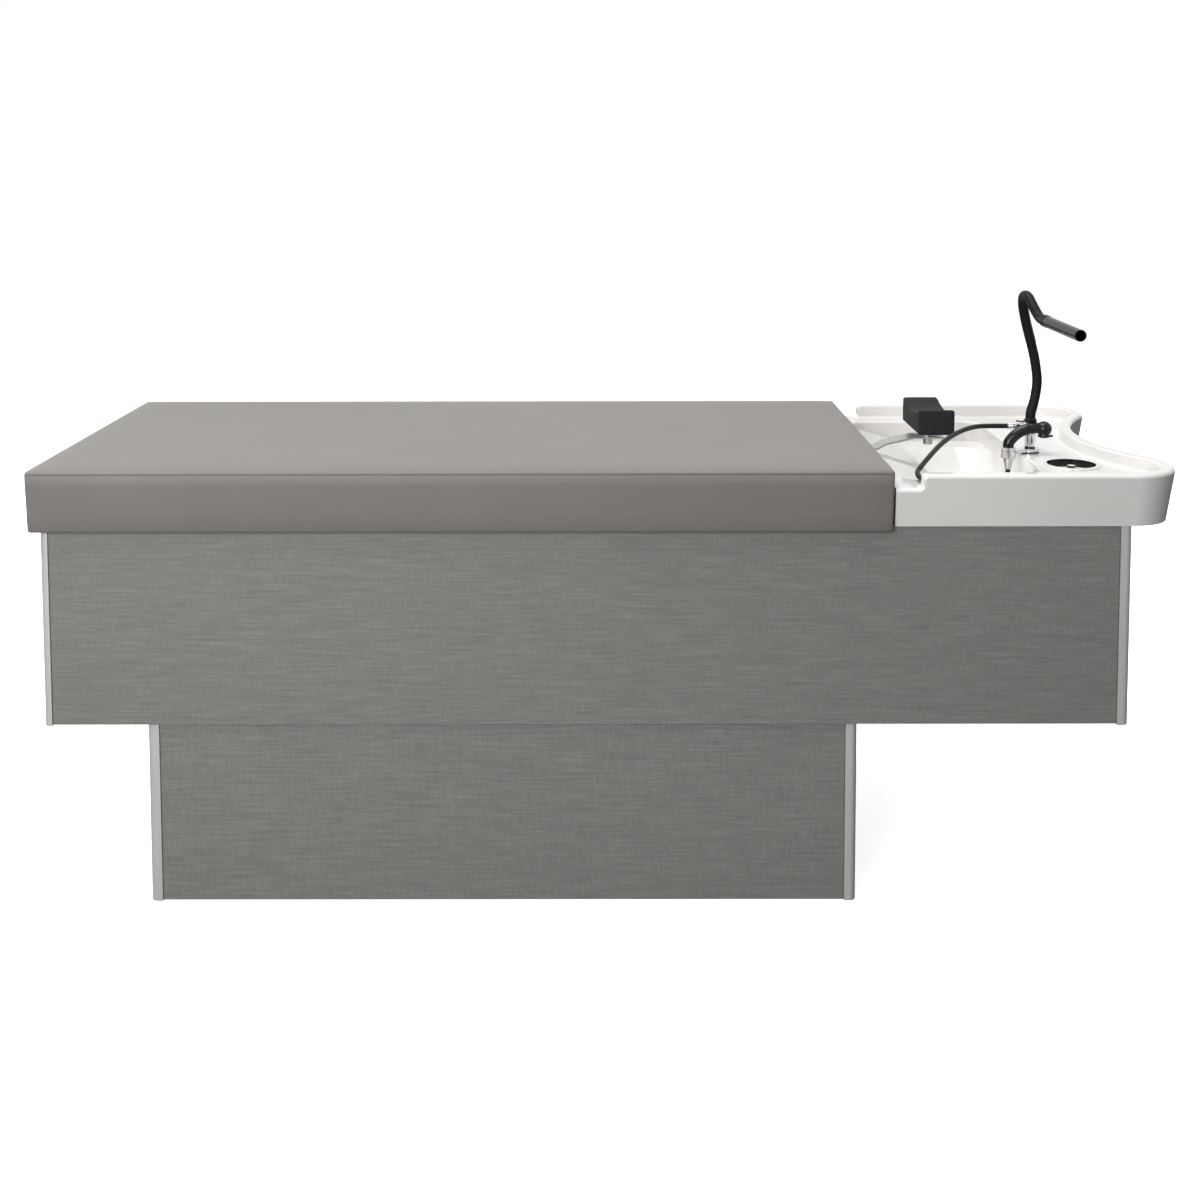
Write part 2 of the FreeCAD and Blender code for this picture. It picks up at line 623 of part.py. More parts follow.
def side_tube(label, radius, start, length, x, y, z, turn):
    """A level cylinder from a distance off an upright axis, along a heading in degrees."""
    rod = cylinder(label, radius, 0, length, 0, 0)
    heading = Rotation(Vector(0, 0, 1), turn).multiply(Rotation(Vector(0, 1, 0), 90))
    away = Rotation(Vector(0, 0, 1), turn).multVec(Vector(1, 0, 0))
    rod.Placement.Rotation = heading
    place(rod, x + start * away.x, y + start * away.y, z)
    return rod


stub = jar + size("trap_stub")
pipe_socket = size("pipe_radius") + gap
overflow_bore = size("overflow_radius") - size("trap_wall") * 0.5
arms = [side_tube("trap_arm", pipe_socket + trap_wall, jar - trap_wall, stub - jar + trap_wall, waste_x, 0,
                  pipe_z, 180),
        side_tube("trap_inlet", size("overflow_radius"), jar - trap_wall, stub - jar + trap_wall, waste_x,
                  0, inlet_z, 270)]
ways = [side_tube("trap_arm_bore", pipe_socket, jar - trap_wall * 2, stub, waste_x, 0, pipe_z, 180),
        side_tube("trap_inlet_bore", overflow_bore, jar - trap_wall * 2, stub, waste_x, 0, inlet_z, 270)]
trap_body = trap_jar
for i, arm in enumerate(arms):
    trap_body = boolean("Fuse", "trap_with_arm%d" % i, trap_body, arm)
boolean("Cut", "bottle_trap", trap_body, group("trap_ways", ways))
pipe_end = size("spigot_length") + size("pipe_low") + size("floor_gap")
pipe_start = (waste_x - jar).value
pipe_run = [(pipe_start, 0, pipe_z.value), (pipe_x.value, 0, pipe_z.value), (pipe_x.value, 0, pipe_end.value)]
fixed("waste_pipe", tube(pipe_run, mm("pipe_radius"), mm("pipe_bend"), mm("pipe_bore")))
spigot, cuff, overlap = size("spigot_radius"), pipe_socket + trap_wall, size("cuff_overlap")
turned("waste_spigot", [(spigot - trap_wall, -size("spigot_length")), (spigot, -size("spigot_length")),
                        (spigot, -trap_wall), (cuff, -trap_wall), (cuff, overlap), (pipe_socket, overlap),
                        (pipe_socket, 0), (spigot - trap_wall, 0)], pipe_x, 0, pipe_end)


# Tap: gasket, two-lobed plate with the handset's ring, column, tee, lock nut under the deck
def disc(radius, low, high, x, y):
    return Part.makeCylinder(radius, high - low, Vector(x, y, low))


def stack(*parts):
    """Fuse touching solids of one piece."""
    solid = parts[0]
    for part in parts[1:]:
        solid = solid.fuse(part)
    return solid.removeSplitter()


def lobes(low, high, inset):
    """Two round lobes joined by a straight web, from the column to the handset's ring."""
    start, end = Vector(tap_x.value, tap_y.value, 0), Vector(holder_x.value, holder_y.value, 0)
    web, wide, narrow = mm("web_width") - 2 * inset, mm("plate_radius") - inset, mm("ring_radius") - inset
    bar = Part.makeBox((end - start).Length, web, high - low, Vector(0, -web / 2, low))
    bar.Placement = Placement(start, Rotation(Vector(1, 0, 0), end - start))
    return stack(disc(wide, low, high, start.x, start.y), disc(narrow, low, high, end.x, end.y), bar)


deck = ledge_z.value
plate_low = ledge_z + size("tap_gasket")
plate_top = plate_low + size("tap_plate")
shank = size("shank_radius")
ring_hole = size("sleeve_radius") + gap
on_deck = Part.makeBox(mm("tap_deck_length"), mm("bed_width"), mm("skirt_height"),
                       Vector(deck_x.value + mm("cut_margin"), -half_bed.value, deck))
shank_hole = disc(shank.value + gap.value, deck, plate_top.value, tap_x.value, tap_y.value)
fixed("tap_gasket", lobes(deck, plate_low.value, mm("gasket_inset")).common(on_deck).cut(shank_hole))
ring = disc(mm("ring_radius"), plate_top.value - mm("ring_height"), plate_top.value, holder_x.value,
            holder_y.value)
ring_bore = disc(ring_hole.value, deck - mm("ring_height"), plate_top.value, holder_x.value, holder_y.value)
fixed("tap_plate", stack(lobes(plate_low.value, plate_top.value, 0), ring).cut(ring_bore).cut(shank_hole))
column_low, column = plate_top + size("foot_ring"), size("column_radius")
groove, ring_top = size("groove"), size("foot_ring")
turned("column_ring", [(shank + gap, 0), (column - groove, 0), (column - groove, ring_top),
                       (shank + gap, ring_top)], tap_x, tap_y, plate_top)
shank_low = -size("shank_length")
line_z, cap_z, column_top = size("column_line"), size("column_line") + groove * 2, size("column_height")
turned("tap_column", [(0, shank_low), (shank, shank_low), (shank, 0), (column, 0), (column, line_z),
                      (column - groove, line_z), (column - groove, cap_z), (column + groove, cap_z),
                      (column + groove, column_top), (0, column_top)], tap_x, tap_y, column_low)
nut_outer = shank + size("tap_nut_wall")
turned("tap_locknut", [(shank + gap, -nut_height), (nut_outer, -nut_height), (nut_outer, 0),
                       (shank + gap, 0)], tap_x, tap_y, ledge_z - size("deck_thickness"))
tee_low = column_low + column_top
tee_z = tee_low + size("tee_height") * 0.5
tee_top = tee_low + size("tee_height")
barrel, arm_length, arm_radius = column + groove * 2, size("arm_length"), size("arm_radius")
tee = cylinder("tee_barrel", barrel, tee_low, tee_top, tap_x, tap_y)
for name, turn in (("outlet", 180), ("spindle", 90)):
    arm = side_tube("tee_" + name, arm_radius, Dim.of(0), arm_length, tap_x, tap_y, tee_z, turn)
    tee = boolean("Fuse", "tap_tee" if name == "spindle" else "tee_with_" + name, tee, arm)
inlet_top = column_low - size("shank_length")
inlet_half = size("inlet_width") * 0.5
inlet_end = size("supply_side") * 0.5
inlet_low = inlet_top - size("inlet_height")
box("inlet_block", (tap_x - inlet_half, tap_x + inlet_half),
    (supply_y[1] - inlet_end, supply_y[0] + inlet_end), (inlet_low, inlet_top))
for name, y in zip(("hot", "cold"), supply_y):
    run = [(tap_x.value, y.value, inlet_low.value), (tap_x.value, y.value, pipe_z.value),
           (pipe_x.value, y.value, pipe_z.value), (pipe_x.value, y.value, mm("supply_low"))]
    fixed(name + "_supply_hose", tube(run, mm("supply_radius"), mm("supply_bend")))

# Mixer lever on the tee's back spindle
boss_y = tap_y + arm_length + gap
lever = side_tube("lever_boss", size("boss_radius"), arm_length + gap, size("boss_length"), tap_x, tap_y,
                  tee_z, 90)
lever_pin = cylinder("lever_pin", size("lever_radius"), 0, size("lever_length"), 0, 0)
lever_pin.Placement.Rotation = Rotation(Vector(0, 1, 0), -78)
place(lever_pin, tap_x, boss_y + size("boss_length") * 0.5, tee_z)
boolean("Fuse", "mixer_lever", lever, lever_pin)

# Hose union: hexagon nut and a tapered ferrule
union_x = tap_x - arm_length
hexagon = doc.addObject("Part::Prism", "hose_nut")
hexagon.Label = "hose_nut"
hexagon.Polygon = 6
bind(hexagon, "Circumradius", size("nut_circumradius"))
bind(hexagon, "Height", size("hex_height"))
hexagon.Placement.Rotation = Rotation(Vector(0, 1, 0), -90)
place(hexagon, union_x, tap_y, tee_z)
ferrule_x = union_x - size("hex_height")
hose_radius = size("hose_diameter") * 0.5
turned("hose_ferrule", [(0, 0), (arm_radius, 0), (hose_radius + groove, size("ferrule_length")),
                        (0, size("ferrule_length"))], ferrule_x, tap_y, tee_z, (-1, 0, 0))

# Bent spout: swivel collar, gooseneck that holds its bend, ribbed joint and straight nozzle
spout_low = tee_top + gap
neck_radius, collar_height = size("neck_radius"), size("spout_collar")
turned("spout_collar", [(0, 0), (barrel, 0), (barrel, collar_height * 0.6),
                        (neck_radius + groove, collar_height), (0, collar_height)], tap_x, tap_y, spout_low)
neck_low = spout_low + collar_height
# the gooseneck's bends, from the collar up: distances from the tap's axis and from the collar's top
NECK = [(0, 0, 0), (0, 0, 10), (7, 0, 34), (12, 0, 68), (7, 0, 106), (-2, -1, 142), (-12, -2, 178),
        (-19, -5, 208), (-23, -18, 230), (-21, -42, 233), (-16, -62, 214), (-9, -80, 195), (-7, -105, 194)]


def widest_bends(points):
    """The largest arc that each turn's two runs leave room for."""
    points = [Vector(*p) for p in points]
    radii = []
    for before, corner, after in zip(points, points[1:], points[2:]):
        half = (after - corner).getAngle(corner - before) / 2
        radii.append(0.45 * min((corner - before).Length, (after - corner).Length) / math.tan(half))
    return radii


def report(label, solid, path, radius, radii):
    """Print a tube's bends and how its volume compares with its section times its length."""
    share = solid.Volume / (math.pi * radius ** 2 * path.Length)
    print(label, "bend radii", [round(r) for r in radii], "length", round(path.Length), "volume share",
          round(share, 4))


neck_points = [(tap_x.value + a, tap_y.value + b, neck_low.value + c) for a, b, c in NECK]
neck_bends = widest_bends(neck_points)
neck_path = route(neck_points, neck_bends)
gooseneck = sweep(neck_path, neck_radius.value)
report("gooseneck", gooseneck, neck_path, neck_radius.value, neck_bends)
fixed("gooseneck", gooseneck)
neck_end = Vector(*neck_points[-1])
nozzle_way = (neck_end - Vector(*neck_points[-2])).normalize()
rib, nozzle_radius = size("joint_rib"), size("nozzle_radius")
ribs = [(Dim.of(0), Dim.of(0))]
for i in range(3):
    low = rib * (2 * i)
    ribs += [(nozzle_radius + groove, low), (nozzle_radius + groove, low + rib)]
    if i < 2:
        ribs += [(nozzle_radius - groove, low + rib), (nozzle_radius - groove, low + rib * 2)]
joint_length = rib * 5
ribs.append((Dim.of(0), joint_length))
turned("nozzle_joint", ribs, *neck_end, tuple(nozzle_way))
nozzle_start = neck_end + nozzle_way * joint_length.value
nozzle_length, nozzle_bore = size("nozzle_length"), size("nozzle_bore")
bore_start = nozzle_length - size("nozzle_depth")
turned("nozzle", [(0, 0), (nozzle_radius, 0), (nozzle_radius, nozzle_length), (nozzle_bore, nozzle_length),
                  (nozzle_bore, bore_start), (0, bore_start)], *nozzle_start, tuple(nozzle_way))

# Handset: tapered sleeve in the ring, collar, arched handle with a ball head, spray face and selector
sleeve, sleeve_tip = size("sleeve_radius"), hose_radius + groove
collar, collar_top = size("collar_radius"), gap + size("collar_height")
sleeve_low, taper_z = -size("sleeve_length"), -size("sleeve_length") * 0.55
turned("handset_sleeve", [(0, sleeve_low), (sleeve_tip, sleeve_low), (sleeve, taper_z), (sleeve, gap),
                          (collar, gap), (collar, collar_top), (0, collar_top)],
       holder_x, holder_y, plate_top)
handle_z = (plate_top + collar_top).value
# the handle's arch, from the collar to the middle of the head: distances along X and up
ARCH = [(0, 0), (0, 6), (3, 12), (11, 21), (23, 29.5), (37, 34), (51, 35.5), (65, 33.5)]
arch_points = [(holder_x.value + a, holder_y.value, handle_z + b) for a, b in ARCH]
head_middle = Vector(*arch_points[-1])
arch_path = route(arch_points, widest_bends(arch_points))
ball = Part.makeSphere(mm("head_radius"), head_middle)
face_z = head_middle.z - mm("head_drop")
room = 4 * mm("head_radius")
below = Part.makeBox(room, room, room, head_middle - Vector(room / 2, room / 2, head_middle.z - face_z + room))
fixed("handset_handle", stack(sweep(arch_path, mm("handle_radius")), ball.cut(below)))
face_radius, face_depth = size("face_radius"), size("face_depth")
turned("spray_face", [(0, -face_depth), (face_radius - groove, -face_depth),
                      (face_radius, -face_depth * 0.5), (face_radius, 0), (0, 0)],
       head_middle.x, head_middle.y, face_z)
selector_inner, selector_outer = face_radius + gap, size("selector_radius")
selector_low, selector_top = -size("selector_depth") - gap, -gap
selector_ring = turned("selector_ring", [(selector_inner, selector_low), (selector_outer, selector_low),
                                         (selector_outer, selector_top), (selector_inner, selector_top)],
                       head_middle.x, head_middle.y, face_z)
tab_half = size("selector_tab") * 0.5
tab_x = Dim.of(head_middle.x) + selector_inner + size("selector_tab") * 0.25
selector_tab = box("selector_tab", (tab_x, tab_x + size("selector_tab")),
                   (holder_y - tab_half, holder_y + tab_half),
                   (selector_low + face_z, selector_top + face_z))
boolean("Fuse", "spray_selector", selector_ring, selector_tab)

# Limp hose from the tap's union, over the tray, along the ledge behind the front rim and up to the handset
hose_start = (ferrule_x - size("ferrule_length")).value, tap_y.value, tee_z.value
hose_end = holder_x.value, holder_y.value, (plate_top + sleeve_low).value
# points between, measured from the tap's axis on its deck
HOSE = [(-71, 0, 49), (-106, -24, 53), (-139, -59, 52.5), (-168, -96, 48.5), (-192, -131, 43),
        (-213.5, -166, 35.5), (-232.5, -197, 27.5), (-248, -222, 20), (-258, -237, 14), (-258.3, -254, 9),
        (-249.8, -268.7, 5.8), (-235.1, -277.2, 4.9), (-211, -277.5, 4.9), (-175, -276, 4.9),
        (-137, -271, 4.9), (-103, -257, 5.2), (-80, -230, 8), (-68, -202, -2), (-61, -173, -19),
        (-58, -144, -38), (-54, -115, -57), (-50, -87, -69.5), (-48, -62, -73), (-47, -42, -66.5),
        (-47, -30.5, -52), (-47, -26, -38)]
hose_points = [hose_start] + [(tap_x.value + a, tap_y.value + b, deck + c) for a, b, c in HOSE] + [hose_end]
hose_bends = widest_bends(hose_points)
hose_path = route(hose_points, hose_bends)
shower_hose = sweep(hose_path, hose_radius.value)
report("shower hose", shower_hose, hose_path, hose_radius.value, hose_bends)
fixed("shower_hose", shower_hose)

# Neck rest: bent slotted strip screwed to the basin's lip, with a scooped pad clamped on it over a spacer
strip, strip_half = size("strip_thickness"), size("strip_width") * 0.5
pad_x = basin_x + size("pad_offset")
strip_z = ledge_z + size("strip_rise")
tab_start, tab_end = basin_x + gap, basin_x + size("lip_width") + size("strip_reach")
knee_x, knee_z = pad_x - size("knee_back"), strip_z - size("knee_drop")
crest_x, strip_end = knee_x + size("knee_run"), pad_x + size("strip_ahead")
profile = [(tab_start, ledge_z), (tab_end, ledge_z), (knee_x + strip * 0.5, knee_z - strip),
           (crest_x + strip * 0.5, strip_z - strip), (strip_end, strip_z - strip), (strip_end, strip_z),
           (crest_x, strip_z), (knee_x, knee_z), (tab_end, ledge_z + strip), (tab_start, ledge_z + strip)]
strip_blank = pad("strip_blank", "XZ_Plane", profile, strip_half * 2)
bind(strip_blank, "Placement.Base.y", strip_half)
slot_half, travel = size("slot_width") * 0.5, size("pad_travel")
cuts = [box("strip_slot", (pad_x - travel, pad_x + travel), (-slot_half, slot_half),
            (strip_z - strip * 2, strip_z + strip))]
for name, x in (("near", pad_x - travel), ("far", pad_x + travel)):
    cuts.append(cylinder("slot_end_" + name, slot_half, strip_z - strip * 2, strip_z + strip, x, 0))
for name, side in (("front", -1), ("back", 1)):
    cuts.append(cylinder("screw_hole_" + name, size("screw_radius") + gap, ledge_z - strip,
                         ledge_z + strip * 2, screw_x, screw_y * side))
drilled("neckrest_strip", strip_blank, cuts)
screws = []
screw, screw_head = size("screw_radius"), size("screw_head")
for name, side in (("front", -1), ("back", 1)):
    screws.append(turned("screw_" + name, [(0, -size("screw_length")), (screw, -size("screw_length")),
                                           (screw, strip), (screw_head, strip),
                                           (screw_head, strip + size("screw_cap")),
                                           (0, strip + size("screw_cap"))], screw_x, screw_y * side, ledge_z))
group("neckrest_screws", screws)


def neck_pad_shape():
    """A block with rounded edges whose top is scooped across for the neck."""
    width, length, height, scoop = mm("pad_width"), mm("pad_length"), mm("pad_height"), mm("pad_scoop")
    chord = length - 2 * mm("pad_shoulder")
    curve = (chord ** 2 / 4 + scoop ** 2) / (2 * scoop)
    block = Part.makeBox(width, length, height, Vector(-width / 2, -length / 2, 0))
    trough = Part.makeCylinder(curve, 2 * width, Vector(-width, 0, height - scoop + curve), Vector(1, 0, 0))
    block = block.cut(trough)
    return block.makeFillet(mm("pad_round"), block.Edges)


spacer, spacer_top = size("spacer_radius"), size("spacer_height")
neck_pad = fixed("neck_pad", neck_pad_shape())
neck_pad.Placement = Placement(Vector(pad_x.value, 0, (strip_z + spacer_top).value), Rotation())
stud, clamp, clamp_height = size("stud_radius"), size("clamp_radius"), size("clamp_height")
clamp_top = -strip - gap
turned("pad_clamp", [(0, clamp_top - clamp_height), (clamp, clamp_top - clamp_height), (clamp, clamp_top),
                     (stud, clamp_top), (stud, gap), (spacer, gap), (spacer, spacer_top),
                     (0, spacer_top)], pad_x, 0, strip_z)

# Overflow cup in the tap deck with a lift-out strainer and a hose to the trap
cup, cup_wall, cup_low = size("cup_radius"), size("cup_wall"), -size("cup_depth")
seat = -size("seat_depth")
spout, spout_end = size("overflow_radius"), -size("cup_depth") - size("trap_stub")
lip_top, cup_inner, cup_floor = size("cup_flange"), cup - cup_wall, cup_low + cup_wall
turned("overflow_cup", [(overflow_bore, spout_end), (spout, spout_end), (spout, cup_low), (cup, cup_low),
                        (cup, 0), (cup + cup_wall, 0), (cup + cup_wall, lip_top), (cup_inner, lip_top),
                        (cup_inner, seat), (cup_inner - cup_wall, seat), (cup_inner - cup_wall, cup_floor),
                        (overflow_bore, cup_floor)], cup_x, cup_y, ledge_z)
cover, cover_top = cup - cup_wall - gap, size("cover_thickness")
cover_z = ledge_z + seat + gap
cover_plate = turned("overflow_plate", [(0, 0), (cover, 0), (cover, cover_top), (0, cover_top)], cup_x,
                     cup_y, cover_z)
slotted("overflow_strainer", cover_plate, 12, cup_x, cup_y, cover_z - margin, cover_z + cover_top + margin,
        size("cover_slot_start"), cover - cup_wall * 2, size("sieve_slot"))
grip, grip_height = size("cover_knob"), size("cover_knob_height")
turned("overflow_knob", [(0, 0), (grip * 0.7, 0), (grip * 0.7, grip_height * 0.4),
                         (grip, grip_height * 0.6), (grip, grip_height), (0, grip_height)],
       cup_x, cup_y, cover_z + cover_top)
hose_low = (ledge_z + spout_end).value
overflow_run = [(cup_x.value, cup_y.value, hose_low), (cup_x.value, cup_y.value, inlet_z.value),
                (waste_x.value, cup_y.value, inlet_z.value), (waste_x.value, -stub.value, inlet_z.value)]
fixed("overflow_hose", tube(overflow_run, mm("overflow_radius"), mm("overflow_bend"), overflow_bore.value))

# Write each sub-part by itself once all are sound
doc.recompute()
faulty = [thing.Label for thing in doc.Objects if "Invalid" in thing.State or "Error" in thing.State]
pieces = [thing for thing in doc.Objects if hasattr(thing, "Shape") and thing.Label in NODES]
bad = [thing.Label for thing in pieces
       if thing.Shape.isNull() or not thing.Shape.isValid() or not thing.Shape.Solids]
missing = set(NODES) - set(thing.Label for thing in pieces)
if faulty or bad or missing:
    raise RuntimeError("not sound: %s %s %s" % (faulty, bad, sorted(missing)))
os.makedirs("parts", exist_ok=True)
for thing in pieces:
    thing.Shape.exportStep("parts/%s.step" % thing.Label)
print(len(pieces), "sub-parts")
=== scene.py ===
# %% [markdown]
# # A salon backwash unit
# The unit is a padded bed on a stepped laminate cabinet, with a white wash basin at its head end.
# The CAD model already holds every rigid piece at its real size, so this lesson loads it as a fixed
# frame and then does what CAD can't: upholstery, a limp hose, small trim, finishes, light and a camera.

# %% Load the frame
import json
import math

import bmesh
import bpy
from mathutils import Matrix, Vector

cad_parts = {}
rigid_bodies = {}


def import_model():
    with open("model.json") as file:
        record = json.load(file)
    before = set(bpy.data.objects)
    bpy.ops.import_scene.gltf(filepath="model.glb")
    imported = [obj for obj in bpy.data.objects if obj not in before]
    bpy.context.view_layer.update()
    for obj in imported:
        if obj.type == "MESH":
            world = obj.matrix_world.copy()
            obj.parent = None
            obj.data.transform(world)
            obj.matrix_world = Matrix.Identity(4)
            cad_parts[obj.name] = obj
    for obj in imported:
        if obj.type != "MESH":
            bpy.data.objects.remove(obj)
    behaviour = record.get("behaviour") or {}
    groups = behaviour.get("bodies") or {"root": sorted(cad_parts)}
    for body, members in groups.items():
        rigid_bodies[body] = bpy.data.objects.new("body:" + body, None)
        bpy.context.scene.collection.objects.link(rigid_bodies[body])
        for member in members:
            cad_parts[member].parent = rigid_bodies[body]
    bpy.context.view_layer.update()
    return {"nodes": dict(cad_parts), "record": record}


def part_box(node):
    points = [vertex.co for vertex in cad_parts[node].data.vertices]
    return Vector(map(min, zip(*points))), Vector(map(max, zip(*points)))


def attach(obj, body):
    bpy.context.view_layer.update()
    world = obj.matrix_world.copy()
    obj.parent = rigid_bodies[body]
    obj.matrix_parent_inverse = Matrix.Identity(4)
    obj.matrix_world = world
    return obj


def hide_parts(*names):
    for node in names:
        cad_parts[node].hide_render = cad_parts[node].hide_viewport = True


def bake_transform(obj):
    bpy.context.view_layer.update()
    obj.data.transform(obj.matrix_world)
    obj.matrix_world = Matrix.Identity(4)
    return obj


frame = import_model()
nodes = frame["nodes"]

# %% [markdown]
# ## The camera
# The photograph was taken from in front of the middle of the bed, a little above the mattress, and
# cropped so that the unit stands low in the frame. Its upright edges hardly converge, so the lens looks
# almost level and the crop is a shift of the frame. A steeper camera without shift would lean the edges.

# %% Set up the camera
PHOTO = 1200
FOCAL_PIXELS = 1545.0
AXIS_ROW = 256.9
EYE_PLACE = (-0.0064, -2.8797, 1.2928)
PITCH, YAW, ROLL = (math.radians(angle) for angle in (4.274, 0.095, -0.096))
camera = bpy.data.cameras.new("photo_camera")
camera.sensor_width = 36
camera.lens = FOCAL_PIXELS * camera.sensor_width / PHOTO
camera.shift_y = (AXIS_ROW - PHOTO / 2) / PHOTO
eye = bpy.data.objects.new("photo_camera", camera)
bpy.context.scene.collection.objects.link(eye)
facing = Matrix.Rotation(YAW, 4, "Z") @ Matrix.Rotation(math.pi / 2 - PITCH, 4, "X")
eye.matrix_world = Matrix.Translation(EYE_PLACE) @ facing @ Matrix.Rotation(ROLL, 4, "Z")
bpy.context.scene.camera = eye
print("lens", round(camera.lens, 2), "shift", round(camera.shift_y, 3))

# %% [markdown]
# ## Colour and nodes
# Finishes are given as sRGB hex values, as a paint card gives them. Shaders work in linear light, so one
# function converts them. Another adds a node with its settings and links in one line, by way of a third
# that feeds a node's inputs, and the last one starts a material with its shader's even values.

# %% Helpers for every finish
def linear(hex_colour):
    """An sRGB hex value as the linear RGBA colour that a shader takes."""
    channels = [int(hex_colour[i:i + 2], 16) / 255 for i in (1, 3, 5)]
    return (*[c / 12.92 if c <= 0.04045 else ((c + 0.055) / 1.055) ** 2.4 for c in channels], 1.0)


def feed(tree, node, inputs):
    """Give each named input of a node a value, or the socket that drives it."""
    for name, value in inputs.items():
        if isinstance(value, bpy.types.NodeSocket):
            tree.links.new(value, node.inputs[name])
        else:
            node.inputs[name].default_value = value


def add(tree, kind, inputs=None, stops=(), **settings):
    """Add a node with its settings and inputs; stops are a colour ramp's (position, hex colour) pairs."""
    node = tree.nodes.new(kind)
    for name, value in settings.items():
        setattr(node, name, value)
    feed(tree, node, inputs or {})
    if stops:
        ramp = node.color_ramp.elements
        ramp[0].position, ramp[0].color = stops[0][0], linear(stops[0][1])
        ramp[1].position, ramp[1].color = stops[-1][0], linear(stops[-1][1])
        for place, colour in stops[1:-1]:
            ramp.new(place).color = linear(colour)
    return node


def finish(name, **sockets):
    """A new material and its Principled shader, set up; underscores stand for spaces in the socket names."""
    material = bpy.data.materials.new(name)
    material.use_nodes = True
    shader = material.node_tree.nodes["Principled BSDF"]
    for socket, value in sockets.items():
        shader.inputs[socket.replace("_", " ")].default_value = value
    return material, material.node_tree, shader


print("finish helpers ready")

# %% [markdown]
# ## A smooth line for the hose
# A hose bends without corners. A NURBS spline nears its control points without touching them, so a short
# list of points gives one smooth line, and a bevel on the curve makes a tube of it. The tube is turned into
# a mesh, because a mesh can bend with the hand shower when that is lifted.

# %% Helpers for a smooth line
MM = 1000.0


def smooth_line(name, points, bevel=0.0):
    """A curve object with one open NURBS spline, whose control points are given in millimetres."""
    curve = bpy.data.curves.new(name, "CURVE")
    curve.dimensions = "3D"
    curve.resolution_u = 8
    curve.bevel_depth = bevel
    curve.bevel_resolution = 5
    curve.use_fill_caps = bevel > 0
    spline = curve.splines.new("NURBS")
    spline.points.add(len(points) - 1)
    for control, (x, y, z) in zip(spline.points, points):
        control.co = (x / MM, y / MM, z / MM, 1)
    spline.order_u = 3
    spline.use_endpoint_u = True
    line = bpy.data.objects.new(name, curve)
    bpy.context.scene.collection.objects.link(line)
    return line


def mesh_of(line):
    """The mesh that a curve object makes; the curve itself is removed."""
    bpy.context.view_layer.update()
    evaluated = line.evaluated_get(bpy.context.evaluated_depsgraph_get())
    mesh = bpy.data.meshes.new_from_object(evaluated)
    bpy.data.objects.remove(line)
    return mesh


print("line helpers ready")

# %% [markdown]
# ## The shower hose
# The hose is a limp black tube, 9 mm thick. It leaves the tap's ferrule level, sags across the tray, turns
# on the ledge behind the front rim, dips into the bowl and comes up into the hand shower's sleeve. Its
# control points are those of the CAD route, in millimetres. A bare line on the same points is made as well.

# %% Lay the hose on its route
HOSE_RADIUS = 0.0045
HOSE_ROUTE = [
    (744, -42, 765), (716, -42, 765), (681, -66, 769), (648, -101, 768.5), (619, -138, 764.5),
    (595, -173, 759), (573.5, -208, 751.5), (554.5, -239, 743.5), (539, -264, 736), (529, -279, 730),
    (528.7, -296, 725), (537.2, -310.7, 721.8), (551.9, -319.2, 720.9), (576, -319.5, 720.9),
    (612, -318, 720.9), (650, -313, 720.9), (684, -299, 721.2), (707, -272, 724), (719, -244, 714),
    (726, -215, 697), (729, -186, 678), (733, -157, 659), (737, -129, 646.5), (739, -104, 643),
    (740, -84, 649.5), (740, -72.5, 664), (740, -68, 678), (740, -68, 690),
]
hose_line = mesh_of(smooth_line("hose_line", HOSE_ROUTE))
hose_mesh = mesh_of(smooth_line("hose_tube", HOSE_ROUTE, HOSE_RADIUS))
hose = bpy.data.objects.new("hand_shower_hose", hose_mesh)
bpy.context.scene.collection.objects.link(hose)
for face in hose_mesh.polygons:
    face.use_smooth = True
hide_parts("shower_hose")
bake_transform(hose)

# %% [markdown]
# ## Blocks, cuts and rounded edges
# The upholstered pieces begin as plain blocks. Small helpers make a block from its corners, cut it across
# with planes so that it has something to bend, and round marked edges with a bevel. Another makes the
# result an object that rides on one of the unit's bodies, and the last spaces cuts evenly.

# %% Helpers for the soft pieces
def block(low, high):
    """A box as a bmesh, from its lowest and highest corners."""
    bm = bmesh.new()
    middle, span = (low + high) / 2, high - low
    bmesh.ops.create_cube(bm, size=1, matrix=Matrix.Translation(middle) @ Matrix.Diagonal((*span, 1)))
    return bm


def sliced(bm, axis, places):
    """Cut the bmesh by planes square to an axis."""
    for place in places:
        across = Vector((0, 0, 0))
        across[axis] = 1
        everything = bm.verts[:] + bm.edges[:] + bm.faces[:]
        bmesh.ops.bisect_plane(bm, geom=everything, dist=1e-6, plane_co=across * place, plane_no=across)


def softened(bm, edges, radius, segments=4):
    """Round edges with a bevel of a given radius."""
    bmesh.ops.bevel(bm, geom=edges, offset=radius, offset_type="OFFSET", segments=segments, profile=0.5,
                    affect="EDGES", clamp_overlap=True, material=-1)


def piece(name, bm, body, crisp=35):
    """Make a bmesh into an object that rides on a body; edges sharper than the angle stay crisp."""
    bmesh.ops.recalc_face_normals(bm, faces=bm.faces)
    for face in bm.faces:
        face.smooth = True
    for edge in bm.edges:
        edge.smooth = not edge.is_manifold or edge.calc_face_angle(0) < math.radians(crisp)
    mesh = bpy.data.meshes.new(name)
    bm.to_mesh(mesh)
    bm.free()
    made = bpy.data.objects.new(name, mesh)
    bpy.context.scene.collection.objects.link(made)
    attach(made, body)
    return made


def steps(low, high, pitch):
    """Even places between two ends, about one pitch apart."""
    count = max(1, round((high - low) / pitch))
    return [low + (high - low) * i / count for i in range(1, count)]


print("block helpers ready")

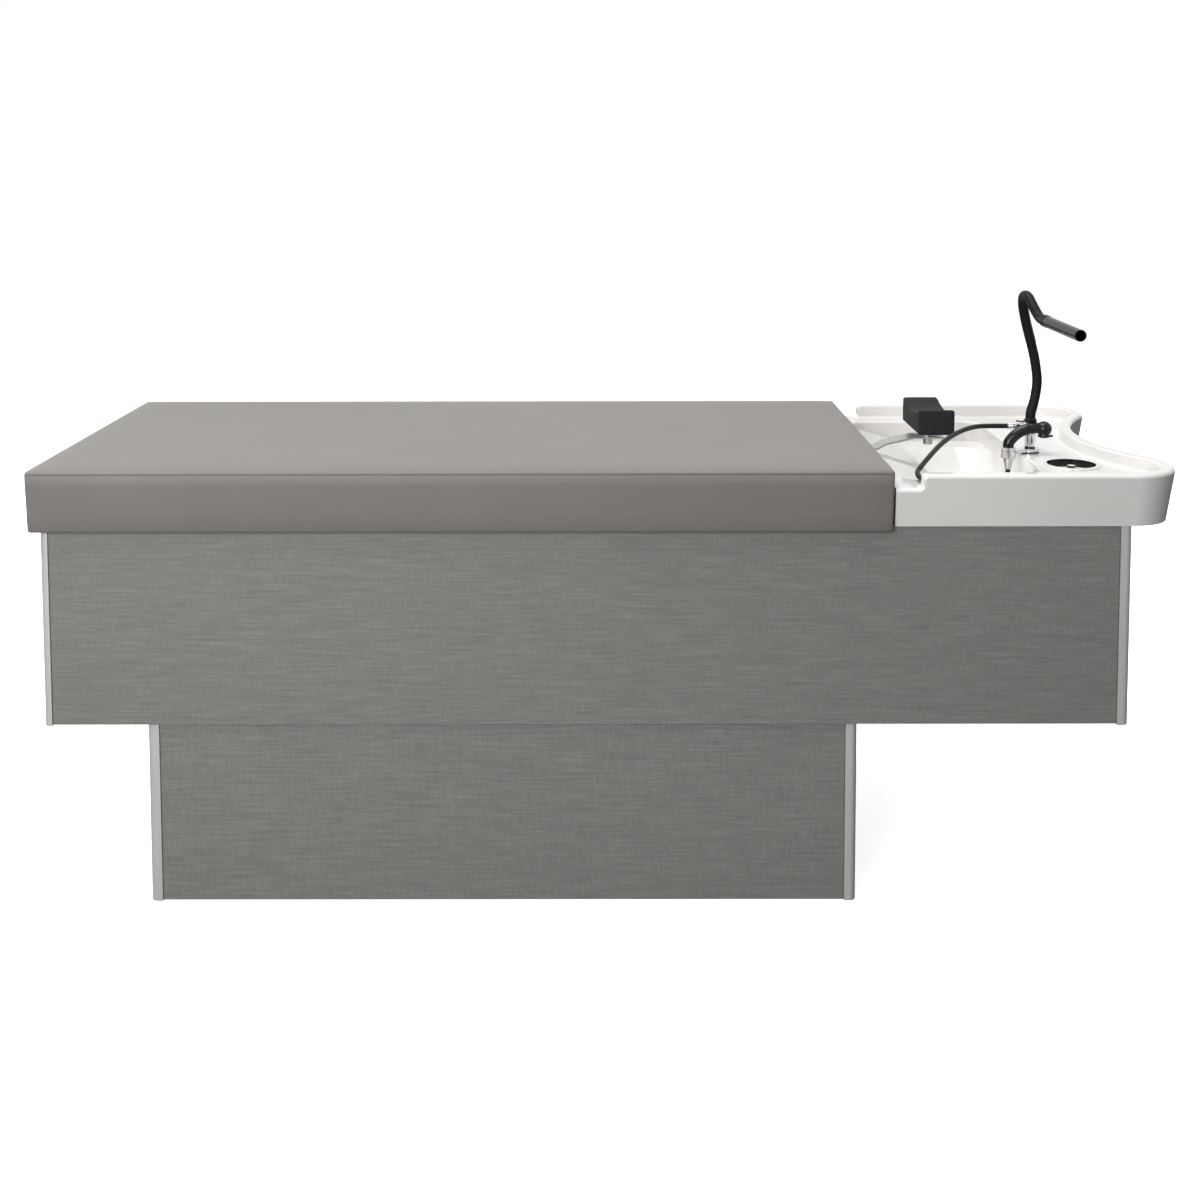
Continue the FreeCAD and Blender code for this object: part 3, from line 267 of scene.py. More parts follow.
# %% [markdown]
# ## The mattress
# The mattress is a firm foam slab in a sewn leatherette cover. Its top edge is a seam, its sides are tight
# and draw in a little towards the board below, and its top is crowned by a few millimetres. A subdivided
# block is blown up by a short cloth simulation with its edges pinned, as a cover is held by its seams, and
# the movement is capped so that it stays a firm slab. Edges and seam come after, so that they stay sharp.
# The cover's lower border hangs a few millimetres over the cabinet on three sides.

# %% Block out the mattress
bed_low, bed_high = (Vector(corner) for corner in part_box("mattress"))
BED_CROWN, BED_EDGE = 0.003, 0.006
GRID_PITCH, GRID_RISE = 0.029, 0.0235
cover = block(bed_low, Vector((bed_high.x, bed_high.y, bed_high.z - BED_CROWN)))
sliced(cover, 0, steps(bed_low.x, bed_high.x, GRID_PITCH))
sliced(cover, 1, steps(bed_low.y, bed_high.y, GRID_PITCH))
sliced(cover, 2, steps(bed_low.z, bed_high.z - BED_CROWN, GRID_RISE))
cover_mesh = bpy.data.meshes.new("mattress_cover")
cover.to_mesh(cover_mesh)
cover.free()
mattress = bpy.data.objects.new("mattress_cover", cover_mesh)
bpy.context.scene.collection.objects.link(mattress)
print("mattress grid", len(cover_mesh.vertices), "points")

# %% [markdown]
# ### Pressure under the cover
# The points on the block's edges and bottom are pinned, and a few frames of pressure without gravity lift
# the rest. Only the direction and spread of that lift are wanted, so each point's movement is capped.

# %% Helpers for a cover under pressure
HAIR = 1e-5
STIFFNESS = 40


def edges_of(mesh, low, high):
    """Indices of the points on the edges and bottom of a block that lies between two corners."""
    held = []
    for vertex in mesh.vertices:
        on = [min(abs(vertex.co[i] - low[i]), abs(vertex.co[i] - high[i])) < HAIR for i in range(3)]
        if sum(on) > 1 or abs(vertex.co.z - low.z) < HAIR:
            held.append(vertex.index)
    return held


def puffed(made, held, pressure, frames):
    """Where a short cloth simulation with pressure and no gravity takes each point."""
    made.vertex_groups.new(name="seams").add(held, 1, "REPLACE")
    cloth = made.modifiers.new("puff", "CLOTH")
    cloth.settings.vertex_group_mass = "seams"
    cloth.settings.use_pressure = True
    cloth.settings.uniform_pressure_force = pressure
    cloth.settings.effector_weights.gravity = 0
    cloth.settings.tension_stiffness = cloth.settings.compression_stiffness = STIFFNESS
    cloth.point_cache.frame_end = frames
    for number in range(1, frames + 1):
        bpy.context.scene.frame_set(number)
    blown = made.evaluated_get(bpy.context.evaluated_depsgraph_get())
    places = [vertex.co.copy() for vertex in blown.data.vertices]
    made.modifiers.remove(cloth)
    made.vertex_groups.clear()
    bpy.context.scene.frame_set(1)
    return places


def capped(move, most):
    """A movement that never passes the most a point may move, and nears it smoothly."""
    return most * math.tanh(move / most)


print("pressure helpers ready")

# %% [markdown]
# ### The mattress filled
# The simulation lifts the middle of the top most and the edges not at all, as foam fills a cover. The sides
# are sewn tight, so they get half as much fullness as the top.

# %% Blow it up inside its seams
PRESSURE, FRAMES, SIDE_FULLNESS = 4, 14, 0.0015
pinned = edges_of(cover_mesh, bed_low, Vector((bed_high.x, bed_high.y, bed_high.z - BED_CROWN)))
blown_to = puffed(mattress, pinned, PRESSURE, FRAMES)
lifts = [place.z - vertex.co.z for place, vertex in zip(blown_to, cover_mesh.vertices)]
print("pinned", len(pinned), "highest lift", round(max(lifts) * MM, 1), "mm before the cap")
for vertex, place in zip(cover_mesh.vertices, blown_to):
    move = place - vertex.co
    vertex.co.z += capped(move.z, BED_CROWN)
    vertex.co.x += capped(move.x, SIDE_FULLNESS)
    vertex.co.y += capped(move.y, SIDE_FULLNESS)

# %% [markdown]
# ### Edges and border
# The upper edges are rounded first, then the lower ones. Cuts near the outside set off a narrow border,
# whose bottom points are let down over the cabinet's front, back and foot end.

# %% Round the edges and let the border down
UNDER_EDGE = 0.005
FLAP_FOOT, FLAP_SIDE, FLAP_DROP, FLAP_WALL = 0.0136, 0.0107, 0.0075, 0.0006
FLAP_HEIGHT = UNDER_EDGE + 0.0005
SHARP = math.radians(60)
cover = bmesh.new()
cover.from_mesh(cover_mesh)
rims = [edge for edge in cover.edges if edge.calc_face_angle(0) > SHARP]
upper = [edge for edge in rims if min(v.co.z for v in edge.verts) > bed_low.z + HAIR]
softened(cover, upper, BED_EDGE, segments=5)
lower = [edge for edge in cover.edges if edge.calc_face_angle(0) > SHARP]
softened(cover, lower, UNDER_EDGE, segments=3)
flap_foot, flap_front, flap_back = bed_low.x + FLAP_FOOT, bed_low.y + FLAP_SIDE, bed_high.y - FLAP_SIDE
sliced(cover, 0, [flap_foot, flap_foot + FLAP_WALL])
sliced(cover, 1, [flap_front, flap_front + FLAP_WALL, flap_back - FLAP_WALL, flap_back])
for vertex in cover.verts:
    x, y, z = vertex.co
    outside = x < flap_foot + HAIR or y < flap_front + HAIR or y > flap_back - HAIR
    if outside and z < bed_low.z + FLAP_HEIGHT:
        vertex.co.z -= FLAP_DROP
print("border hangs", FLAP_DROP, "m")

# %% [markdown]
# ### The seam
# The top panel is sewn to the sides just below the rounded edge. Three cuts make a narrow band there, and
# its middle line is sunk into a groove and marked with an attribute, where the finish paints shade. Below
# it the sides draw in towards the board.

# %% Sew the seam
SIDE_DRAW = 0.0025
SEAM_HALF, SEAM_DEPTH, SEAM_BAND = 0.0012, 0.0008, 0.02
seam_z = bed_high.z - BED_CROWN - BED_EDGE
sliced(cover, 2, [seam_z - SEAM_HALF, seam_z, seam_z + SEAM_HALF])
sewn = cover.verts.layers.float.new("seam")
bed_middle = (bed_low + bed_high) / 2
for vertex in cover.verts:
    drawn = SIDE_DRAW * min(1, max(0, (seam_z - vertex.co.z) / (seam_z - bed_low.z)))
    on_seam = abs(vertex.co.z - seam_z) < HAIR
    vertex[sewn] = 1.0 if on_seam else 0.0
    for axis in (0, 1):
        half = (bed_high[axis] - bed_low[axis]) / 2
        away = vertex.co[axis] - bed_middle[axis]
        vertex.co[axis] = bed_middle[axis] + away * (1 - drawn / half)
        if on_seam and abs(away) > half - SEAM_BAND:
            vertex.co[axis] -= math.copysign(SEAM_DEPTH, away)
bmesh.ops.recalc_face_normals(cover, faces=cover.faces)
for face in cover.faces:
    face.smooth = True
cover.to_mesh(cover_mesh)
cover.free()
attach(mattress, "frame")
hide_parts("mattress")
print("mattress top", round(max(v.co.z for v in cover_mesh.vertices), 4), "m")

# %% [markdown]
# ## The neck rest's pad
# The pad is moulded foam with a skin: a block with soft edges whose top is hollowed across for the neck.
# A block is cut into slices, its top points are lowered along a circle's arc, and its edges are rounded.
# It is too stiff to puff up, so its shape is given.

# %% Hollow and round the pad
pad_low, pad_high = (Vector(corner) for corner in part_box("neck_pad"))
SCOOP, SHOULDER, PAD_EDGE, PAD_GRID = 0.012, 0.012, 0.004, 0.008
SCOOP_CUTS = 24
foam = block(pad_low, pad_high)
chord = pad_high.y - pad_low.y - 2 * SHOULDER
curve_radius = (chord ** 2 / 4 + SCOOP ** 2) / (2 * SCOOP)
sliced(foam, 1, [pad_low.y + SHOULDER + chord * i / SCOOP_CUTS for i in range(SCOOP_CUTS + 1)])
tops = [v for v in foam.verts if v.co.z > pad_high.z - HAIR]
for vertex in tops:
    reach = vertex.co.y - (pad_low.y + pad_high.y) / 2
    if abs(reach) < chord / 2:
        rise = curve_radius - math.sqrt(curve_radius ** 2 - reach ** 2)
        vertex.co.z = pad_high.z - SCOOP + rise
corners = [edge for edge in foam.edges if edge.calc_face_angle(0) > math.radians(50)]
softened(foam, corners, PAD_EDGE, segments=4)
bmesh.ops.remove_doubles(foam, verts=foam.verts, dist=HAIR)
bmesh.ops.dissolve_degenerate(foam, dist=HAIR, edges=foam.edges)
sliced(foam, 0, steps(pad_low.x, pad_high.x, PAD_GRID))
sliced(foam, 2, steps(pad_low.z, pad_high.z, PAD_GRID))
pad = piece("neck_rest_pad", foam, "neck_rest", crisp=60)
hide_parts("neck_pad")
print("pad", [round(v, 4) for v in pad_high - pad_low])

# %% [markdown]
# ## Skins for the moulded and turned pieces
# A CAD node arrives as loose flat triangles, which show as facets on gloss. A merged copy can be shaded
# smooth where faces meet gently and keep its crisp edges elsewhere. Weighted normals keep the large flat
# faces flat beside their fillets. The copy has the node's own shape and stands in its place.

# %% A smooth copy of one node
CRISP, FLAT, MERGE = math.radians(30), math.radians(0.4), 2e-6


def skinned(name, body):
    """A merged, smoothly shaded copy of a CAD node, with its crisp edges kept."""
    bm = bmesh.new()
    bm.from_mesh(nodes[name].data)
    bmesh.ops.remove_doubles(bm, verts=bm.verts, dist=MERGE)
    bmesh.ops.dissolve_limit(bm, angle_limit=FLAT, verts=bm.verts, edges=bm.edges)
    for face in bm.faces:
        face.smooth = True
    for edge in bm.edges:
        edge.smooth = not edge.is_manifold or edge.calc_face_angle(0) < CRISP
    mesh = bpy.data.meshes.new(name + "_skin")
    bm.to_mesh(mesh)
    bm.free()
    skin = bpy.data.objects.new(name + "_skin", mesh)
    bpy.context.scene.collection.objects.link(skin)
    skin.modifiers.new("flat_faces", "WEIGHTED_NORMAL").keep_sharp = True
    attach(skin, body)
    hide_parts(name)
    return skin


print("skins keep edges over", round(math.degrees(CRISP)), "degrees")

# %% [markdown]
# ### Which pieces get a skin
# Pieces with curves that show get one: the basin, the tap, the hand shower, the spout, the neck rest's metal,
# the strainers and the rounded posts. Boards are flat, and the plumbing inside is out of sight.

# %% Skins for the pieces that show curves
SKINS = {
    "frame": "basin waste_outlet tap_plate column_ring tap_column tap_tee hose_nut hose_ferrule "
             "neckrest_strip neckrest_screws overflow_cup cabinet_corner_posts plinth_corner_posts",
    "handset": "handset_sleeve handset_handle spray_face",
    "selector": "spray_selector",
    "lever": "mixer_lever",
    "spout": "spout_collar gooseneck nozzle_joint nozzle",
    "neck_rest": "pad_clamp",
    "strainer": "waste_strainer",
    "overflow": "overflow_strainer overflow_knob",
}
slot_of = {part["node"]: part["material_slot"] for part in frame["record"]["subparts"]}
skins = {}
for body, names in SKINS.items():
    for name in names.split():
        skins[name] = skinned(name, body)
print(len(skins), "skins")

# %% [markdown]
# ## Trim on the cabinet
# Each laminate board meets its corner post in a narrow dark joint, where the post's lip leaves a shadow.
# A thin dark strip with rounded edges paints that shadow, because a groove in the board itself would need
# another CAD shape for so small a step.

# %% Lay the joint strips beside the posts
JOINT_WIDTH, JOINT_PROUD, JOINT_EDGE = 0.0015, 0.0003, 0.0001
# each strip is painted shadow, dark grey where the post's lip shades the board
for panel in ("cabinet_front_panel", "cabinet_back_panel", "plinth_front_panel", "plinth_back_panel"):
    low, high = (Vector(corner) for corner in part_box(panel))
    y_low, y_high = (low.y - JOINT_PROUD, low.y) if low.y < 0 else (high.y, high.y + JOINT_PROUD)
    for end, x in (("foot", low.x), ("head", high.x - JOINT_WIDTH)):
        strip = block(Vector((x, y_low, low.z)), Vector((x + JOINT_WIDTH, y_high, high.z)))
        softened(strip, strip.edges[:], JOINT_EDGE, segments=1)
        piece(panel.replace("panel", "joint") + "_" + end, strip, "frame")
print("joint strips laid")

# %% [markdown]
# ## Crimped rings on the hose's end
# The ferrule is pressed on to the hose with a tool that leaves three raised rings. They are too small for the
# CAD model but catch the light. Like every round fitting here, a ring is a turned shape: a short profile
# spun round an axis, with heights along the axis and radii counted from it or from the piece below.

# %% Turn the crimped rings
def turned(profile, centre, axis=(0, 0, 1), steps_round=32):
    """Spin a (radius, height) profile round an axis through a centre; points on the axis close the shape."""
    bm = bmesh.new()
    line = [bm.verts.new((radius, 0, height)) for radius, height in profile]
    edges = [bm.edges.new(pair) for pair in zip(line, line[1:])]
    bmesh.ops.spin(bm, geom=line + edges, cent=(0, 0, 0), axis=(0, 0, 1), angle=2 * math.pi,
                   steps=steps_round, use_merge=True)
    bmesh.ops.remove_doubles(bm, verts=bm.verts, dist=1e-7)
    aim = Vector((0, 0, 1)).rotation_difference(Vector(axis)).to_matrix().to_4x4()
    bmesh.ops.transform(bm, matrix=Matrix.Translation(centre) @ aim, verts=bm.verts)
    return bm


ferrule_low, ferrule_high = (Vector(corner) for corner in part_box("hose_ferrule"))
ferrule_axis = (ferrule_low + ferrule_high) / 2
ferrule_radius = (ferrule_high.z - ferrule_low.z) / 2
CRIMP = [(-0.0008, -0.0008), (0.0002, -0.0006), (0.0005, 0), (0.0002, 0.0006), (-0.0008, 0.0008),
         (-0.0008, -0.0008)]
CRIMP_PLACES = (0.0030, 0.0055, 0.0080)
for number, along in enumerate(CRIMP_PLACES):
    ring = [(ferrule_radius + out, height) for out, height in CRIMP]
    centre = Vector((ferrule_low.x + along, ferrule_axis.y, ferrule_axis.z))
    turned_ring = turned(ring, centre, axis=(1, 0, 0), steps_round=40)
    piece("ferrule_crimp_%d" % number, turned_ring, "frame")
print(len(CRIMP_PLACES), "crimped rings of radius", round(ferrule_radius, 4), "m")

# %% [markdown]
# ## Trim on the overflow and the screws
# A white ring snaps over the overflow cup's flange and hides it, so only the cup's mouth stays dark. Each
# screw of the neck rest has a hexagon recess, and a thin dark hexagon on its head paints the recess's shade.
# Spinning its profile in six steps gives its six sides.

# %% Turn the overflow's ring and the screws' recesses
cup_low, cup_high = (Vector(corner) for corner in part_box("overflow_cup"))
cup_radius = (cup_high.x - cup_low.x) / 2
TRIM = [(-0.0073, 0.0001), (-0.0073, 0.0006), (-0.0067, 0.0010), (-0.0012, 0.0010), (0.0004, 0.0002),
        (0.0008, -0.0019), (0.0001, -0.0019), (0.0001, 0.0001), (-0.0073, 0.0001)]
trim = [(cup_radius + out, height) for out, height in TRIM]
cup_middle = (cup_low + cup_high) / 2
cup_top = Vector((cup_middle.x, cup_middle.y, cup_high.z))
piece("overflow_trim", turned(trim, cup_top, steps_round=64), "frame")

# painted shade: each recess is a dark hexagon a fraction of a millimetre proud of the head, not a hollow
screws_low, screws_high = (Vector(corner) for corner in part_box("neckrest_screws"))
HEAD_RADIUS = 0.0045
SHADED_RECESS_DISC = [(0, 0.0002), (0.0019, 0.0002), (0.0024, 0.0003), (0.0027, 0), (0, 0)]
for side, y in (("front", screws_low.y + HEAD_RADIUS), ("back", screws_high.y - HEAD_RADIUS)):
    centre = Vector(((screws_low.x + screws_high.x) / 2, y, screws_high.z))
    piece("screw_recess_" + side, turned(SHADED_RECESS_DISC, centre, steps_round=6), "frame")
print("overflow ring of radius", round(cup_radius, 4), "m")

# %% [markdown]
# ## Jets in the spray face
# The hand shower's face carries rubber jets in two rings round a middle one. One small profile is turned at
# each place, and all of them are gathered in one mesh, because they are a single rubber mat.

# %% Turn the jets
face_low, face_high = (Vector(corner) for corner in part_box("spray_face"))
face_centre = (face_low + face_high) / 2
NUB = [(0, -0.0011), (0.0005, -0.0010), (0.0008, -0.0004), (0.0009, 0.0003), (0, 0.0003)]
JET_RINGS = ((0, 1), (0.0030, 6), (0.0058, 12))
jets = bmesh.new()
for ring_radius, count in JET_RINGS:
    for number in range(count):
        angle = 2 * math.pi * number / count
        across = Vector((math.cos(angle), math.sin(angle), 0)) * ring_radius
        place = Vector((face_centre.x, face_centre.y, face_low.z)) + across
        one = turned(NUB, place, steps_round=10)
        mesh = bpy.data.meshes.new("jet")
        one.to_mesh(mesh)
        one.free()
        jets.from_mesh(mesh)
        bpy.data.meshes.remove(mesh)
piece("spray_jets", jets, "handset")
print(sum(count for _, count in JET_RINGS), "jets")

# %% [markdown]
# ## Leatherette on the mattress
# The cover is polyurethane leatherette: a cloth with an embossed skin, so it is even in colour, satin, and
# has a fine pebble grain. The real pebbles are about 1 mm across and would vanish at this distance, so they
# are drawn at about 2.2 mm. The grain scatters light at a glancing angle, which a little sheen stands for,
# so the top looks lighter from low down. The seam's attribute darkens it with painted shade, as its depth
# does with real shade. Here and in the other finishes, a pattern's scale is how many times its size in
# millimetres goes into a metre.

# %% Polyurethane leatherette
leather, tree, shader = finish("pu_leatherette", Specular_IOR_Level=0.42, IOR=1.5,
                               Sheen_Weight=0.27, Sheen_Roughness=0.4)
where = add(tree, "ShaderNodeTexCoord").outputs["Object"]
pebbles = add(tree, "ShaderNodeTexVoronoi", {"Vector": where, "Scale": MM / 2.2}, feature="SMOOTH_F1")
drift = add(tree, "ShaderNodeTexNoise", {"Vector": where, "Scale": MM / 160, "Detail": 3.0})
tone = add(tree, "ShaderNodeValToRGB", {"Fac": drift.outputs["Fac"]},
           stops=[(0.3, "#7a7673"), (0.7, "#7e7a76")])
# painted shade: the seam attribute mixes a darker tone into the groove
seam = add(tree, "ShaderNodeAttribute", attribute_name="seam")
seam_shade_tone = add(tree, "ShaderNodeMixRGB", {"Fac": seam.outputs["Fac"], "Color1": tone.outputs["Color"],
                                           "Color2": linear("#64615e")})
gloss = add(tree, "ShaderNodeMapRange", {"Value": pebbles.outputs["Distance"], "From Max": 0.6,
                                         "To Min": 0.5, "To Max": 0.62})
grain = add(tree, "ShaderNodeBump", {"Height": pebbles.outputs["Distance"], "Strength": 0.22,
                                     "Distance": 0.0006})
feed(tree, shader, {"Base Color": seam_shade_tone.outputs["Color"], "Roughness": gloss.outputs["Result"],
                    "Normal": grain.outputs["Normal"]})
print("leatherette", leather.name)

# %% [markdown]
# ## Laminate on the boards
# The boards are chipboard faced with a melamine laminate printed and pressed like linen. Threads run level:
# light and dark streaks about 2.5 mm high and some 70 mm long, crossed by finer upright threads. Noise that
# is squeezed in height gives the level threads on all four sides at once, because both level axes are
# stretched by the same amount.

# %% Melamine laminate with a linen press
laminate, tree, shader = finish("linen_melamine_laminate", Specular_IOR_Level=0.4, IOR=1.5)
where = add(tree, "ShaderNodeTexCoord").outputs["Object"]
level = add(tree, "ShaderNodeMapping", {"Vector": where, "Scale": (MM / 70, MM / 70, MM / 2.6)})
threads = add(tree, "ShaderNodeTexNoise", {"Vector": level.outputs["Vector"], "Scale": 1.0, "Detail": 4.0,
                                           "Roughness": 0.65})
upright = add(tree, "ShaderNodeMapping", {"Vector": where, "Scale": (MM / 2.4, MM / 2.4, MM / 22)})
crossing = add(tree, "ShaderNodeTexNoise", {"Vector": upright.outputs["Vector"], "Scale": 1.0,
                                            "Detail": 2.0})
cloth_print = add(tree, "ShaderNodeMixRGB", {"Fac": 0.35, "Color1": threads.outputs["Fac"],
                                             "Color2": crossing.outputs["Fac"]})
tone = add(tree, "ShaderNodeValToRGB", {"Fac": cloth_print.outputs["Color"]},
           stops=[(0.32, "#757371"), (0.5, "#83817e"), (0.68, "#91908d")])
gloss = add(tree, "ShaderNodeMapRange", {"Value": cloth_print.outputs["Color"], "To Min": 0.42,
                                         "To Max": 0.6})
press = add(tree, "ShaderNodeBump", {"Height": cloth_print.outputs["Color"], "Strength": 0.25,
                                     "Distance": 0.0004})
feed(tree, shader, {"Base Color": tone.outputs["Color"], "Roughness": gloss.outputs["Result"],
                    "Normal": press.outputs["Normal"]})
print("laminate", laminate.name)

# %% [markdown]
# ## Metals
# The posts are extruded aluminium, satin anodised, with faint lines along their length. The tap is chrome
# plate, mirror bright with a few water spots. The neck rest's strip is brushed stainless steel. Each keeps
# a metal's own shader and differs in colour, roughness and the way its marks run.

# %% Anodised aluminium, chrome, steel and brass
def metal(name, light, dark, rough, marks, bump=0.0, metallic=1.0):
    """A metal whose marks, given as a size in millimetres along each axis, vary its colour and roughness."""
    made, tree, shader = finish(name, Metallic=metallic)
    where = add(tree, "ShaderNodeTexCoord").outputs["Object"]
    run = add(tree, "ShaderNodeMapping", {"Vector": where, "Scale": [MM / size for size in marks]})
    lines = add(tree, "ShaderNodeTexNoise", {"Vector": run.outputs["Vector"], "Scale": 1.0, "Detail": 3.0})
    tone = add(tree, "ShaderNodeValToRGB", {"Fac": lines.outputs["Fac"]}, stops=[(0.3, dark), (0.7, light)])
    gloss = add(tree, "ShaderNodeMapRange", {"Value": lines.outputs["Fac"], "From Min": 0.3, "From Max": 0.7,
                                             "To Min": rough[0], "To Max": rough[1]})
    feed(tree, shader, {"Base Color": tone.outputs["Color"], "Roughness": gloss.outputs["Result"]})
    if bump:
        height = add(tree, "ShaderNodeBump", {"Height": lines.outputs["Fac"], "Strength": bump,
                                              "Distance": 0.0002})
        feed(tree, shader, {"Normal": height.outputs["Normal"]})
    return made


# satin anodised: fine upright die lines under a milky oxide layer, which scatters most of the light
anodised = metal("anodised_aluminium", "#d3d3d0", "#c7c7c3", (0.42, 0.5), (1.2, 1.2, 160), metallic=0.3)
# bright chrome plate: nearly colourless, with smudges some 12 mm across
chrome = metal("chrome_plate", "#e2e2e4", "#d4d4d7", (0.05, 0.12), (12, 12, 12))
# brushed stainless: short scratches along the strip
stainless = metal("brushed_stainless", "#bdbdba", "#a4a4a2", (0.22, 0.38), (18, 0.6, 0.6), 0.1)
# machined brass fittings inside the plinth
brass = metal("machined_brass", "#c9a45c", "#ad8845", (0.2, 0.35), (2, 2, 0.6))
# braided steel supply hoses: woven wire about 1 mm wide
braid = metal("braided_steel", "#b4b4b4", "#6c6c6e", (0.3, 0.5), (1.2, 1.2, 1.2), 0.5)
print("metals", len([anodised, chrome, stainless, brass, braid]))

# %% [markdown]
# ## Plastics, rubber and foam
# The basin is sanitary acrylic: white, a touch warm, very glossy. The hand shower and spout end are black
# ABS, moulded and polished, with the faint waviness of a moulding. The gooseneck wears a satin rubber
# sleeve, the hose is soft black PVC, and the neck pad is foam with a fine pitted skin.

# %% Moulded and rubber finishes
def moulded(name, light, dark, rough, blotch, bump=0.0, pit=0.0, **sockets):
    """A moulded finish with soft blotches of tone, and pits or waviness at a size in millimetres."""
    made, tree, shader = finish(name, **sockets)
    where = add(tree, "ShaderNodeTexCoord").outputs["Object"]
    cloud = add(tree, "ShaderNodeTexNoise", {"Vector": where, "Scale": MM / blotch, "Detail": 3.0})
    tone = add(tree, "ShaderNodeValToRGB", {"Fac": cloud.outputs["Fac"]}, stops=[(0.3, dark), (0.7, light)])
    gloss = add(tree, "ShaderNodeMapRange", {"Value": cloud.outputs["Fac"], "From Min": 0.3, "From Max": 0.7,
                                             "To Min": rough[0], "To Max": rough[1]})
    feed(tree, shader, {"Base Color": tone.outputs["Color"], "Roughness": gloss.outputs["Result"]})
    if bump:
        pits = add(tree, "ShaderNodeTexNoise", {"Vector": where, "Scale": MM / pit, "Detail": 2.0})
        height = add(tree, "ShaderNodeBump", {"Height": pits.outputs["Fac"], "Strength": bump,
                                              "Distance": 0.0004})
        feed(tree, shader, {"Normal": height.outputs["Normal"]})
    return made


# vacuum-formed sanitary acrylic: a warm white under a clear, wet-looking gloss
acrylic = moulded("sanitary_acrylic", "#f3f1ee", "#eeece9", (0.07, 0.13), 180, IOR=1.49,
                  Coat_Weight=0.3, Coat_Roughness=0.04)
# polished ABS mouldings: near black, with small sharp highlights that waver a little
abs_black = moulded("polished_black_abs", "#151516", "#101011", (0.12, 0.2), 30, 0.06, 6, IOR=1.53,
                    Specular_IOR_Level=0.3)
# rubber sleeve on the gooseneck: a satin black with wide, dim highlights
sleeve = moulded("satin_rubber_sleeve", "#161617", "#101011", (0.42, 0.52), 25, 0.1, 1.5, IOR=1.52,
                 Specular_IOR_Level=0.15)
# soft extruded PVC: a slightly warm black with a long, soft streak of light
pvc = moulded("black_pvc_hose", "#201e1d", "#181716", (0.3, 0.42), 40, 0.08, 3, IOR=1.53,
              Specular_IOR_Level=0.25)
# foam with a moulded skin: matt dark grey, its pits drawn at 1.2 mm because finer ones would not show
skin_foam = moulded("skinned_foam", "#29292b", "#202022", (0.6, 0.75), 20, 0.35, 1.2, IOR=1.45,
                    Specular_IOR_Level=0.2)
# painted shadow in each joint: a matt grey strip where the post's lip shades the board
painted_joint_shadow = moulded("joint_painted_shadow", "#5a5754", "#504d4a", (0.6, 0.7), 30, 0.05, 2)
# moulded polypropylene of the trap and the overflow strainer: an even, slightly waxy white
white_pp = moulded("white_polypropylene", "#e8e8e5", "#ddddda", (0.35, 0.45), 60, 0.05, 2, IOR=1.49)
# polypropylene of the waste pipe: a plain plumbing grey, satin
grey_pp = moulded("grey_polypropylene", "#9b9da0", "#8c8e91", (0.4, 0.5), 60, 0.05, 2, IOR=1.49)
# raw chipboard inside the cabinet: pressed chips some 3 mm long, matt
chipboard = moulded("raw_chipboard", "#c4ab88", "#9d8565", (0.75, 0.9), 3, 0.4, 2)
print("moulded finishes ready")

# %% [markdown]
# ## Finishes on the pieces
# The record gives each CAD node a material slot, and each slot has one finish here. A skin takes its node's
# finish, and the trim and fittings are matched by the start of their names.

# %% Give every node and piece its finish
FINISHES = {
    "grey_laminate": laminate, "grey_profile": anodised, "board": chipboard, "leatherette": leather,
    "white_shell": acrylic, "chrome": chrome, "steel": stainless, "black_plastic": abs_black,
    "black_sleeve": sleeve, "black_foam": skin_foam, "black_hose": pvc, "white_plastic": white_pp,
    "grey_pipe": grey_pp, "brass": brass, "braid": braid,
}
FITTING_FINISHES = {
    "cabinet_front_joint": painted_joint_shadow, "cabinet_back_joint": painted_joint_shadow, "plinth_front_joint": painted_joint_shadow,
    # the screws' hexagons are painted shade in the black sleeve finish
    "plinth_back_joint": painted_joint_shadow, "overflow_trim": acrylic, "ferrule_crimp": chrome, "screw_recess": sleeve,
    "spray_jets": sleeve,
}
for name, node in nodes.items():
    node.material_slots[0].link = "OBJECT"
    node.material_slots[0].material = FINISHES[slot_of[name]]
for name, skin in skins.items():
    skin.data.materials.append(FINISHES[slot_of[name]])
hose.data.materials.append(pvc)
mattress.data.materials.append(leather)
pad.data.materials.append(skin_foam)
for made in bpy.context.scene.objects:
    for start, fitting_finish in FITTING_FINISHES.items():
        if made.name.startswith(start):
            made.data.materials.append(fitting_finish)
print(len(FINISHES), "finishes on", len(nodes), "nodes")

# %% [markdown]
# ## Studio
# The photograph is a cut-out on white: tops are about twice as bright as fronts, the fronts fall off to the
# right, and faces that look right are the darkest. A very soft sun overhead, tipped to the left, lights all
# tops alike. A lamp near the foot end fades along the fronts, and a dim low lamp behind shows the back,
# which the photograph doesn't see.

# %% Light the unit
def lamp(name, kind, place, target, strength, **settings):
    """A light of one kind that faces a target."""
    data = bpy.data.lights.new(name, kind)
    data.energy = strength
    for setting, value in settings.items():
        setattr(data, setting, value)
    made = bpy.data.objects.new(name, data)
    made.location = place
    made.rotation_euler = (Vector(target) - Vector(place)).to_track_quat("-Z", "Y").to_euler()
    bpy.context.scene.collection.objects.link(made)
    return made


lamp("soft_sky", "SUN", (-0.9, 0, 3.5), (0, 0, 0), strength=2.5, angle=math.radians(44))
lamp("front_left", "AREA", (-1.2, -2.9, 1.5), (-0.1, 0, 0.5), strength=62, size=1.6)
back = lamp("back_fill", "AREA", (0.2, 3.0, 0.45), (0.2, 0, 0.4), strength=40, shape="RECTANGLE",
            size=2.4, size_y=0.5)
# left out of gloss, where it would leave a streak on the black spout
back.visible_glossy = False

# %% [markdown]
# ## The white room
# The room behind the unit is pure white in the picture. The light that it sheds is dimmer and fades from the
# foot end to the head end, as the photograph's shading does. Gloss mirrors a brighter room, as a
# photographer's white cards do for a basin and chrome.

